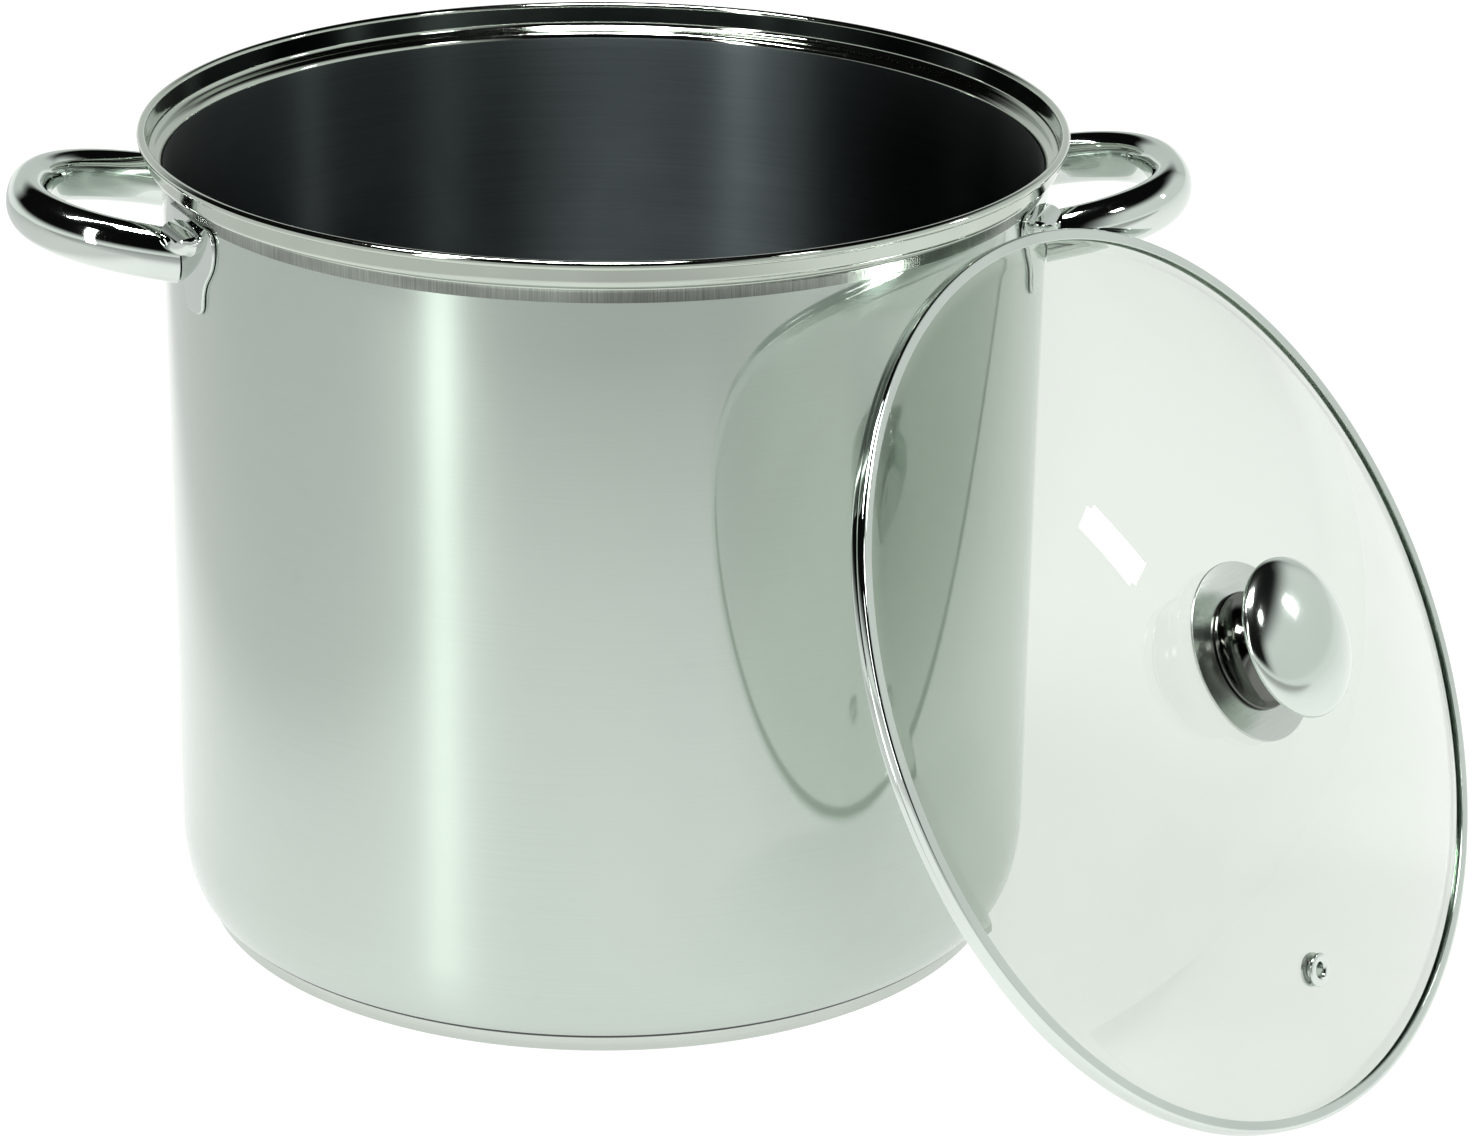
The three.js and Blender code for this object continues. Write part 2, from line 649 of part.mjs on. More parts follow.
/** A lifting bail, drawn with its hinge pins on the Y axis and folded towards -X. */
function bail() {
  const half = BAIL_HALF_WIDTH;
  const hinge = BAIL_CORNER / 2;
  const far = -bailLength + BAIL_CORNER;
  const bend = (x, y, radius, from, to) =>
    arc(x, y, radius, radius, from, to, WIRE_BEND_STEPS).map((p) => new THREE.Vector3(p.x, p.y, 0));
  const points = [
    new THREE.Vector3(0, -half - BAIL_PIN, 0),
    ...bend(-hinge, -half - hinge, hinge, 0, 90),
    ...bend(far, -half + BAIL_CORNER, BAIL_CORNER, 270, 180),
    ...bend(far, half - BAIL_CORNER, BAIL_CORNER, 180, 90),
    ...bend(-hinge, half + hinge, hinge, 270, 360),
    new THREE.Vector3(0, half + BAIL_PIN, 0),
  ];
  return sweptAlongBends(wireSection(BAIL_RADIUS), points);
}

// ---------------------------------------------------------------- assembly

const canner = new THREE.Group();

piece(canner, "pot_body", potBody(), brushedSteel);
piece(canner, "base_heat_disc", heatDisc(), castAluminium);
piece(canner, "base_cap", baseCap(), brushedSteel);

for (const [name, turn] of [["handle_right", 0], ["handle_left", 180]]) {
  const handle = new THREE.Group();
  handle.rotation.z = rad(HANDLE_TURN_DEG + turn);
  piece(handle, name + "_loop", handleLoop(), polishedSteel);
  const front = turn === 0 ? -1 : 1;
  piece(handle, name + "_front_bracket", handleBracket(front), polishedSteel);
  piece(handle, name + "_rear_bracket", handleBracket(-front), polishedSteel);
  canner.add(handle);
}

const lid = new THREE.Group();
lid.position.copy(lidCentre(leanDistance()));
lid.rotation.copy(lidTurn);
canner.add(lid);
piece(lid, "lid_glass", lidGlass(), temperedGlass);
piece(lid, "lid_rim_band", lidBand(), polishedSteel);
ventPlace(piece(lid, "lid_vent_eyelet", ventEyelet(), polishedSteel));
ventPlace(piece(lid, "lid_vent_backing_ring", ventBackingRing(), polishedSteel));
piece(lid, "knob_upper_gasket", disc(GLASS_BORE_RADIUS, GASKET_RADIUS, upperGasketBottom,
  upperGasketBottom + GASKET_THICKNESS, ROUND_KNOB), silicone);
piece(lid, "knob_flange", disc(GLASS_BORE_RADIUS, FLANGE_RADIUS, flangeBottom,
  flangeBottom + FLANGE_THICKNESS, ROUND_KNOB), brushedSteel);
piece(lid, "knob_neck", knobNeck(), polishedSteel);
piece(lid, "knob_cap", knobCap(), polishedSteel);
piece(lid, "knob_lower_gasket", disc(GLASS_BORE_RADIUS, GASKET_RADIUS, lowerGasketTop - GASKET_THICKNESS,
  lowerGasketTop, ROUND_KNOB), silicone);
piece(lid, "knob_washer", disc(SCREW_RADIUS + GAP, WASHER_RADIUS, washerTop - WASHER_THICKNESS,
  washerTop, ROUND_SMALL), brushedSteel);
piece(lid, "knob_screw", knobScrew(), brushedSteel);

const rack = new THREE.Group();
canner.add(rack);
piece(rack, "rack_ring", wireRing(rackRadius, RACK_WIRE_RADIUS, ROUND_RING), chromeWire)
  .position.z = rackRingHeight;
for (let i = 0; i < RACK_CROSS_COUNT; i++) {
  const y = (i - (RACK_CROSS_COUNT - 1) / 2) * RACK_CROSS_SPACING;
  piece(rack, "rack_cross_wire_" + (i + 1), crossWire(y), chromeWire);
}
for (const [name, side] of [["left", -1], ["right", 1]]) {
  piece(rack, "rack_runner_" + name, runner(side * RUNNER_OFFSET), chromeWire);
  const fold = new THREE.Group();
  fold.position.set(side * hingeDistance, 0, bailHeight);
  fold.rotation.z = side > 0 ? 0 : Math.PI;
  rack.add(fold);
  piece(fold, "rack_bail_" + name, bail(), chromeWire);
  for (const [end, way] of [["front", -side], ["rear", side]]) {
    const eye = wireRing(eyeRadius, EYE_WIRE_RADIUS, ROUND_EYE).rotateX(Math.PI / 2);
    piece(fold, "rack_eye_" + name + "_" + end, eye, chromeWire).position.y = way * eyeSpan;
  }
}
for (let i = 0; i < RACK_FOOT_COUNT; i++) {
  const foot = new THREE.Group();
  foot.rotation.z = rad(RACK_FOOT_TURN_DEG + (360 * i) / RACK_FOOT_COUNT);
  rack.add(foot);
  piece(foot, "rack_foot_" + (i + 1), rackFoot(), chromeWire).position.x = rackRadius;
}

export default canner;
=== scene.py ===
"""Looks of a water bath canner: stock pot, leaning glass lid and jar rack.

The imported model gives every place. The pieces here stand for its plain solids with rounded
edges, rolled beads and pressed shapes, and carry the finishes. All lengths are in metres.
"""

import json
import logging
import math
from collections.abc import Callable, Sequence
from dataclasses import dataclass
from enum import Enum, IntEnum

import bpy
from mathutils import Matrix, Vector

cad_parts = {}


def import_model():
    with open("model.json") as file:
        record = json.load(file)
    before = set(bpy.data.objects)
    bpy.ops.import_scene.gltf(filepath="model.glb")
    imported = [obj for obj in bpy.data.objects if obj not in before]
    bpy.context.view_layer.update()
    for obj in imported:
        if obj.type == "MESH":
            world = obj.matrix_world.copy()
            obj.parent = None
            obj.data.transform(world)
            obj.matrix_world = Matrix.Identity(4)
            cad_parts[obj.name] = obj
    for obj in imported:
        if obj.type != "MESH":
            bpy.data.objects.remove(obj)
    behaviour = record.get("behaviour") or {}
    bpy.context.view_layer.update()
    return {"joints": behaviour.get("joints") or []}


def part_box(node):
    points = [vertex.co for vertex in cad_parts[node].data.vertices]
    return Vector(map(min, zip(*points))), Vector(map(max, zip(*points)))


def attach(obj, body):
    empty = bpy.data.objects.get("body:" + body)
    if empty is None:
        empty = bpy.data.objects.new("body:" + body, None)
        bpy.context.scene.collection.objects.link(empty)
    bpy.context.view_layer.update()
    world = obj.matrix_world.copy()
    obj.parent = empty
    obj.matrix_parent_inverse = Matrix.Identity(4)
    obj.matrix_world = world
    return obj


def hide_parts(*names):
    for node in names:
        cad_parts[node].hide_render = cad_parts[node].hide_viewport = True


LOG = logging.getLogger("canner")
MM = 0.001
UP = Vector((0.0, 0.0, 1.0))
ON_AXIS = 1e-9  # a radius below this is a point on the axis
SHARE_OF_EDGE = 0.48  # most of an edge that one rounding may use

Point2 = tuple[float, float]
Colour = tuple[float, float, float]
Object = bpy.types.Object
Material = bpy.types.Material
Node = bpy.types.Node
Socket = bpy.types.NodeSocket
Tree = bpy.types.NodeTree


class Round(IntEnum):
    """Steps round a full turn."""

    POT = 256
    BAND = 224
    GLASS = 192
    HOOP = 160
    CAP = 128
    DISC = 96
    VENT = 64
    SCREW = 64
    DRILL = 48
    TUBE = 40
    EYE = 40
    ROD = 24
    WIRE = 20
    FOOT_WIRE = 18
    EYE_WIRE = 14


# --- outlines


def arc(centre: Point2, radii: Point2, start: float, end: float, steps: int) -> list[Point2]:
    """Walk along an ellipse.

    Args:
        centre: Middle of the ellipse.
        radii: Half widths along the first and second coordinate.
        start: First angle in degrees.
        end: Last angle in degrees.
        steps: Number of steps between them.

    Returns:
        The points, both ends included.
    """
    angles = [math.radians(start + (end - start) * i / steps) for i in range(steps + 1)]
    return [
        (centre[0] + radii[0] * math.cos(a), centre[1] + radii[1] * math.sin(a)) for a in angles
    ]


def rounded(corners: Sequence[tuple[float, float, float]], steps: int = 4) -> list[Point2]:
    """Round the corners of a closed outline.

    Args:
        corners: Each corner's two coordinates and the radius it is rounded to.
        steps: Steps in each rounding.

    Returns:
        The outline with its corners replaced by short curves.
    """
    out: list[Point2] = []
    count = len(corners)
    for i, (x, y, radius) in enumerate(corners):
        here = Vector((x, y))
        before = Vector(corners[i - 1][:2]) - here
        after = Vector(corners[(i + 1) % count][:2]) - here
        reach = min(radius, before.length * SHARE_OF_EDGE, after.length * SHARE_OF_EDGE)
        a = here + before.normalized() * reach
        b = here + after.normalized() * reach
        for k in range(steps + 1):
            t = k / steps
            p = a * (1 - t) ** 2 + here * 2 * t * (1 - t) + b * t * t
            out.append((p.x, p.y))
    return out


def sheet(path: Sequence[Point2], thickness: float) -> list[Point2]:
    """Outline of a sheet of even thickness that follows a path.

    Args:
        path: Middle line of the sheet.
        thickness: Its thickness.

    Returns:
        The closed outline, one side and then the other.
    """
    left: list[Point2] = []
    right: list[Point2] = []
    for i, p in enumerate(path):
        before = Vector(path[max(i - 1, 0)])
        after = Vector(path[min(i + 1, len(path) - 1)])
        along = (after - before).normalized()
        off = Vector((-along.y, along.x)) * thickness / 2
        left.append((p[0] + off.x, p[1] + off.y))
        right.append((p[0] - off.x, p[1] - off.y))
    return left + right[::-1]


def ellipse(half: Point2, count: int) -> list[Point2]:
    """Points round an ellipse about the origin, without repeating the first."""
    return arc((0.0, 0.0), half, 0.0, 360.0, count)[:-1]


# --- mesh making


def add_piece(
    name: str,
    verts: Sequence[Sequence[float]],
    faces: Sequence[Sequence[int]],
    sharp: float = 38.0,
) -> Object:
    """Make a smooth-shaded object from points and faces, with its normals facing out.

    Args:
        name: Name of the new object.
        verts: Points of the mesh.
        faces: Faces as lists of point numbers.
        sharp: Angle in degrees above which an edge stays crisp.

    Returns:
        The object, linked to the scene.
    """
    mesh = bpy.data.meshes.new(name)
    mesh.from_pydata([tuple(v) for v in verts], [], [tuple(f) for f in faces])
    volume = 0.0
    mesh.calc_loop_triangles()
    for t in mesh.loop_triangles:
        a, b, c = (mesh.vertices[i].co for i in t.vertices)
        volume += a.dot(b.cross(c))
    if volume < 0:
        mesh.flip_normals()
    mesh.polygons.foreach_set("use_smooth", [True] * len(mesh.polygons))
    mesh.set_sharp_from_angle(angle=math.radians(sharp))
    mesh.update()
    piece = bpy.data.objects.new(name, mesh)
    bpy.context.scene.collection.objects.link(piece)
    return piece


def revolve(
    name: str,
    outline: Sequence[Point2],
    segments: int,
    place: Matrix | None = None,
    sharp: float = 38.0,
) -> Object:
    """Turn an outline of (radius, height) about the Z axis.

    Args:
        name: Name of the new object.
        outline: A closed outline, or one that starts and ends on the axis.
        segments: Number of steps round the axis.
        place: Where the turned piece goes.
        sharp: Angle in degrees above which an edge stays crisp.

    Returns:
        The new object.
    """
    place = place or Matrix.Identity(4)
    verts: list[Vector] = []
    rings: list[list[int]] = []
    for r, z in outline:
        if r <= ON_AXIS:
            rings.append([len(verts)] * segments)
            verts.append(place @ Vector((0.0, 0.0, z)))
            continue
        rings.append(list(range(len(verts), len(verts) + segments)))
        for k in range(segments):
            a = 2 * math.pi * k / segments
            verts.append(place @ Vector((r * math.cos(a), r * math.sin(a), z)))
    closed = outline[0][0] > ON_AXIS
    pairs = len(rings) if closed else len(rings) - 1
    faces: list[list[int]] = []
    for i in range(pairs):
        low, high = rings[i], rings[(i + 1) % len(rings)]
        for k in range(segments):
            n = (k + 1) % segments
            loop = [low[k], low[n], high[n], high[k]]
            face = [v for j, v in enumerate(loop) if v != loop[j - 1]]
            if len(face) > 2:
                faces.append(face)
    return add_piece(name, verts, faces, sharp)


def sweep(
    name: str,
    section: Sequence[Point2],
    path: Sequence[Vector],
    up: Vector,
    trim: Callable[[Vector, Vector], Vector] | None = None,
) -> Object:
    """Carry a section along a path that lies roughly square to a fixed direction.

    Args:
        name: Name of the new object.
        section: Outline across the path: sideways first, then along ``up``.
        path: Points of the middle line.
        up: Direction that the section's second coordinate follows.
        trim: Moves a point of either end along the path's direction to its finished place.

    Returns:
        The new object.
    """
    size, last = len(section), len(path) - 1
    verts: list[Vector] = []
    for i, p in enumerate(path):
        along = (path[min(i + 1, last)] - path[max(i - 1, 0)]).normalized()
        side = along.cross(up).normalized()
        rise = side.cross(along).normalized()
        for x, y in section:
            v = p + side * x + rise * y
            verts.append(trim(v, along) if trim and i in (0, last) else v)
    faces = [
        [a + k, a + (k + 1) % size, a + size + (k + 1) % size, a + size + k]
        for a in range(0, last * size, size)
        for k in range(size)
    ]
    faces += [list(range(size))[::-1], [last * size + k for k in range(size)]]
    return add_piece(name, verts, faces)


# --- node groups


class Nodes:
    """Short way to add and link shader nodes in one tree."""

    def __init__(self, tree: Tree) -> None:
        """Keep the tree that is written to."""
        self.tree = tree

    def add(self, kind: str, **settings: object) -> Node:
        """Add a node.

        Args:
            kind: Node type without its ``ShaderNode`` prefix.
            **settings: Properties of the node, or input values given as ``in_NAME``.

        Returns:
            The new node.
        """
        node = self.tree.nodes.new("ShaderNode" + kind)
        inputs = {key[3:]: value for key, value in settings.items() if key.startswith("in_")}
        for key, value in settings.items():
            if not key.startswith("in_"):
                setattr(node, key, value)
        for label, value in inputs.items():
            socket = node.inputs[int(label) if label.isdigit() else label.replace("_", " ")]
            if isinstance(value, Socket):
                self.link(value, socket)
            else:
                socket.default_value = value
        return node

    def link(self, source: Socket, target: Socket) -> None:
        """Link an output to an input."""
        self.tree.links.new(source, target)

    def math(self, operation: str, a: object, b: object = 0.0) -> Socket:
        """Add a Math node and return its output.

        Args:
            operation: Name of the operation.
            a: First value or socket.
            b: Second value or socket.

        Returns:
            The result socket.
        """
        return self.add("Math", operation=operation, in_0=a, in_1=b).outputs[0]

    def times(self, a: object, b: object) -> Socket:
        """Multiply two values or sockets."""
        return self.math("MULTIPLY", a, b)

    def axes(self, output: str) -> Sequence[Socket]:
        """Split a texture coordinate into its three sockets."""
        return self.add("SeparateXYZ", in_0=self.add("TexCoord").outputs[output]).outputs

    def spread(self, value: object, ends: Point2, to: Point2) -> Socket:
        """Map a value smoothly from one range to another, held at the ends.

        Args:
            value: Socket to map.
            ends: The two ends of the range it comes from.
            to: The two ends of the new range.

        Returns:
            The mapped socket.
        """
        node = self.add(
            "MapRange", interpolation_type="SMOOTHSTEP", in_0=value, in_1=ends[0], in_2=ends[1]
        )
        node.inputs[3].default_value, node.inputs[4].default_value = to
        return node.outputs[0]

    def blend(self, amount: Socket, low: Colour, high: Colour) -> Socket:
        """Mix two colours.

        Args:
            amount: Socket from 0 to 1.
            low: Colour at 0.
            high: Colour at 1.

        Returns:
            The mixed colour.
        """
        ramp = self.add("ValToRGB", in_0=amount)
        ramp.color_ramp.elements[0].color = (*low, 1.0)
        ramp.color_ramp.elements[1].color = (*high, 1.0)
        return ramp.outputs[0]

    def place(self, tree: Tree, **values: float) -> Node:
        """Put a node group in the tree.

        Args:
            tree: The group.
            **values: Input values, with underscores for spaces.

        Returns:
            The group's node.
        """
        node = self.tree.nodes.new("ShaderNodeGroup")
        node.node_tree = tree
        for label, value in values.items():
            node.inputs[label.replace("_", " ")].default_value = value
        return node


def new_group(
    name: str, inputs: Sequence[tuple[str, float]], outputs: Sequence[str]
) -> tuple[Nodes, Node, Node]:
    """Start a shader node group whose sockets are plain numbers.

    Args:
        name: Name of the group.
        inputs: Name and usual value of each input.
        outputs: Name of each output.

    Returns:
        The group's nodes, its input node and its output node.
    """
    tree = bpy.data.node_groups.new(name, "ShaderNodeTree")
    kind = "NodeSocketFloat"
    for label, value in inputs:
        socket = tree.interface.new_socket(label, in_out="INPUT", socket_type=kind)
        socket.default_value = value
    for label in outputs:
        tree.interface.new_socket(label, in_out="OUTPUT", socket_type=kind)
    return Nodes(tree), tree.nodes.new("NodeGroupInput"), tree.nodes.new("NodeGroupOutput")


def round_grain_group() -> Tree:
    """Fine lines left by brushing a turning piece: long round the Z axis, narrow along it.

    Returns:
        A group with inputs Pitch and Length and output Lines.
    """
    nodes, inside, outside = new_group(
        "round_grain", [("Pitch", 900.0), ("Length", 3.0)], ["Lines"]
    )
    x, y, z = nodes.axes("Object")
    pitch, length = inside.outputs["Pitch"], inside.outputs["Length"]
    radius = nodes.math("SQRT", nodes.math("ADD", nodes.times(x, x), nodes.times(y, y)))
    line_place = nodes.add(
        "CombineXYZ",
        in_0=nodes.times(nodes.math("ARCTAN2", y, x), length),
        in_1=nodes.times(radius, pitch),
        in_2=nodes.times(z, pitch),
    )
    lines = nodes.add(
        "TexNoise", in_Vector=line_place.outputs[0], in_Scale=1.0, in_Detail=3.0, in_Roughness=0.65
    )
    nodes.link(lines.outputs["Fac"], outside.inputs["Lines"])
    return nodes.tree


def handling_group() -> Tree:
    """Marks of use on metal or glass: cloudy smears and sparse hairline scratches.

    Returns:
        A group with inputs Smear Scale and Scratch Scale and outputs Smear and Scratch.
    """
    nodes, inside, outside = new_group(
        "handling", [("Smear Scale", 14.0), ("Scratch Scale", 60.0)], ["Smear", "Scratch"]
    )
    place = nodes.add("TexCoord").outputs["Object"]
    smear_scale, scratch_scale = (inside.outputs[f"{kind} Scale"] for kind in ("Smear", "Scratch"))
    cloud = nodes.add(
        "TexNoise", in_Vector=place, in_Scale=smear_scale, in_Detail=4.0, in_Distortion=0.6
    )
    wave = nodes.add(
        "TexNoise", in_Vector=place, in_Scale=scratch_scale, in_Detail=1.0, in_Distortion=2.5
    )
    ridge = nodes.math("ABSOLUTE", nodes.math("SUBTRACT", wave.outputs["Fac"], 0.5))
    smear = nodes.spread(cloud.outputs["Fac"], (0.38, 0.72), (0.0, 1.0))
    scratch = nodes.spread(ridge, (0.0, 0.006), (1.0, 0.0))
    nodes.link(smear, outside.inputs["Smear"])
    nodes.link(scratch, outside.inputs["Scratch"])
    return nodes.tree


# --- finishes


def start_material(name: str) -> tuple[Material, Nodes, Node]:
    """Start a material.

    Args:
        name: Its name.

    Returns:
        The material, its nodes and its Principled shader.
    """
    material = bpy.data.materials.new(name)
    material.use_nodes = True
    nodes = Nodes(material.node_tree)
    return material, nodes, nodes.tree.nodes["Principled BSDF"]


class Grain(Enum):
    """Which way a brushed finish runs."""

    ROUND = "round the axis"
    NONE = "polished, no grain"


@dataclass(frozen=True)
class SteelFinish:
    """Stainless steel, from satin brushed to mirror polished."""

    name: str
    colour: Colour
    # Dark end of the tone ramp: duller grain on most finishes, painted shade on the inside, the
    # shoulder band and the foot band.
    dull_and_shade: Colour
    roughness: float
    spread: float
    grain: Grain = Grain.NONE
    pitch: float = 900.0
    length: float = 2.0
    bump: float = 0.0
    stretch: float = 0.0
    gleam: float = 0.0
    gleam_roughness: float = 0.05
    line_share: float = 0.6
    scratch_share: float = 0.05
    relief: float = 0.2 * MM

    def make(self, grain_tree: Tree, handling_tree: Tree) -> Material:
        """Build the material.

        Args:
            grain_tree: The brushed lines group.
            handling_tree: The marks of use group.

        Returns:
            The finished material.
        """
        material, nodes, shader = start_material(self.name)
        marks = nodes.place(handling_tree, Smear_Scale=9.0, Scratch_Scale=45.0)
        grain = nodes.place(grain_tree, Pitch=self.pitch, Length=self.length)
        smear = marks.outputs["Smear"]
        lines = grain.outputs["Lines"] if self.grain is Grain.ROUND else smear
        shader.inputs["Metallic"].default_value = 1.0
        shader.inputs["Anisotropic"].default_value = self.stretch
        shader.inputs["Anisotropic Rotation"].default_value = 0.25
        lined = nodes.times(lines, self.line_share)
        tone = nodes.math("ADD", lined, nodes.times(smear, 1.0 - self.line_share))
        nodes.link(nodes.blend(tone, self.dull_and_shade, self.colour), shader.inputs["Base Color"])
        smooth = self.roughness - self.spread / 2
        rough = nodes.math("ADD", smooth, nodes.times(tone, self.spread))
        scratches = nodes.times(marks.outputs["Scratch"], self.scratch_share)
        nodes.link(nodes.math("ADD", rough, scratches), shader.inputs["Roughness"])
        bump = nodes.add("Bump", in_Strength=self.bump, in_Distance=self.relief, in_Height=lines)
        nodes.link(bump.outputs[0], shader.inputs["Normal"])
        if self.gleam > 0.0:
            shader.inputs["Coat Weight"].default_value = 1.0
            shader.inputs["Coat Roughness"].default_value = self.gleam_roughness
            shader.inputs["Coat IOR"].default_value = self.gleam
        if self.stretch > 0.0:
            tangent = nodes.add("Tangent", direction_type="RADIAL", axis="Z")
            nodes.link(tangent.outputs[0], shader.inputs["Tangent"])
        return material


@dataclass(frozen=True)
class GlassFinish:
    """Clear tempered glass with a faint green body."""

    name: str = "tempered_glass"
    tint: Colour = (0.675, 0.72, 0.67)
    clean: Colour = (0.715, 0.755, 0.71)
    haze: float = 0.012
    ripple: float = 0.4 * MM

    def make(self, handling_tree: Tree) -> Material:
        """Build the material.

        Args:
            handling_tree: The marks of use group.

        Returns:
            The finished material.
        """
        material, nodes, shader = start_material(self.name)
        marks = nodes.place(handling_tree, Smear_Scale=6.0, Scratch_Scale=30.0)
        smear = marks.outputs["Smear"]
        shader.inputs["Metallic"].default_value = 0.0
        shader.inputs["Transmission Weight"].default_value = 1.0
        shader.inputs["IOR"].default_value = 1.5
        nodes.link(nodes.blend(smear, self.clean, self.tint), shader.inputs["Base Color"])
        nodes.link(nodes.times(smear, self.haze), shader.inputs["Roughness"])
        bump = nodes.add("Bump", in_Strength=0.02, in_Distance=self.ripple, in_Height=smear)
        nodes.link(bump.outputs[0], shader.inputs["Normal"])
        return material


@dataclass(frozen=True)
class SiliconeFinish:
    """Milky silicone of the knob's gaskets."""

    name: str = "milky_silicone"
    colour: Colour = (0.78, 0.80, 0.77)
    worn: Colour = (0.66, 0.68, 0.63)
    roughness: float = 0.45
    spread: float = 0.2

    def make(self, handling_tree: Tree) -> Material:
        """Build the material.

        Args:
            handling_tree: The marks of use group.

        Returns:
            The finished material.
        """
        material, nodes, shader = start_material(self.name)
        marks = nodes.place(handling_tree, Smear_Scale=120.0, Scratch_Scale=200.0)
        smear = marks.outputs["Smear"]
        nodes.link(nodes.blend(smear, self.colour, self.worn), shader.inputs["Base Color"])
        rough = nodes.math("ADD", self.roughness, nodes.times(smear, self.spread))
        nodes.link(rough, shader.inputs["Roughness"])
        shader.inputs["Subsurface Weight"].default_value = 0.15
        shader.inputs["Subsurface Radius"].default_value = (0.002, 0.002, 0.002)
        return material


class Finishes:
    """Every material of the canner, made once."""

    def __init__(self) -> None:
        """Build the shared groups and each finish."""
        grain, marks = round_grain_group(), handling_group()

        def steel(*values: object, **more: object) -> Material:
            """Make one steel finish from its values."""
            return SteelFinish(*values, **more).make(grain, marks)

        self.brushed = steel(
            "brushed_steel", (0.435, 0.515, 0.450), (0.37, 0.45, 0.385), 0.32, 0.05, Grain.ROUND,
            pitch=1700.0, bump=0.06, stretch=0.95, gleam=2.7,
        )
        self.base = steel(
            "base_steel", (0.60, 0.64, 0.60), (0.50, 0.54, 0.50), 0.20, 0.06, Grain.ROUND,
            pitch=1400.0, bump=0.08, stretch=0.5,
        )
        # Near-black inside of the pot: painted shade, far darker than the steel itself.
        self.inside = steel(
            "inside_shade_steel", (0.09, 0.105, 0.11), (0.05, 0.06, 0.06), 0.41, 0.05, Grain.ROUND,
            bump=0.05, stretch=0.97,
        )
        self.polished = steel(
            "polished_steel", (0.665, 0.715, 0.675), (0.60, 0.645, 0.61), 0.05, 0.03, bump=0.008
        )
        self.rim = steel(
            "rim_steel", (0.56, 0.605, 0.545), (0.48, 0.52, 0.465), 0.08, 0.04, bump=0.015
        )
        self.satin = steel(
            "satin_steel", (0.68, 0.735, 0.69), (0.61, 0.665, 0.62), 0.12, 0.03, bump=0.03
        )
        self.dark_polish = steel(
            "dark_polish", (0.17, 0.175, 0.16), (0.11, 0.115, 0.105), 0.09, 0.04, bump=0.02
        )
        self.flange = steel(
            "flange_steel", (0.66, 0.69, 0.66), (0.53, 0.56, 0.53), 0.20, 0.08, Grain.ROUND,
            pitch=1600.0, bump=0.12,
        )
        self.wire = steel(
            "chrome_wire", (0.74, 0.76, 0.75), (0.66, 0.68, 0.67), 0.09, 0.05, bump=0.03
        )
        self.aluminium = steel(
            "pressed_aluminium", (0.70, 0.71, 0.70), (0.58, 0.59, 0.58), 0.45, 0.15, bump=0.2
        )
        # Shoulder band under the seat ring: real crimp marks, whose near-black streaks and darker
        # band are painted shade under the ring.
        self.crimp = steel(
            "crimp_and_shade_steel", (0.60, 0.66, 0.59), (0.02, 0.02, 0.02), 0.20, 0.08, Grain.ROUND,
            pitch=45.0, length=330.0, bump=0.25,
        )
        # Near-black band at the shell's foot: painted shade in the wedge between the shell and the
        # base cup.
        self.seam = steel(
            "foot_shade_steel", (0.06, 0.065, 0.06), (0.02, 0.02, 0.02), 0.5, 0.2, bump=0.1
        )
        self.glass = GlassFinish().make(marks)
        self.silicone = SiliconeFinish().make(marks)


def dress(piece: Object, material: Material, slot: str, body: str, *nodes: str) -> None:
    """Give a piece its finish, its body and the model pieces that it stands for.

    Args:
        piece: The object.
        material: Its finish.
        slot: The record's material slot; not used.
        body: The body that it moves with.
        *nodes: Names of the model's nodes that it replaces.
    """
    piece.data.materials.clear()
    piece.data.materials.append(material)
    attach(piece, body)
    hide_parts(*nodes)
    LOG.info("%s: %d faces, for %s", piece.name, len(piece.data.polygons), ", ".join(nodes))


# --- pot


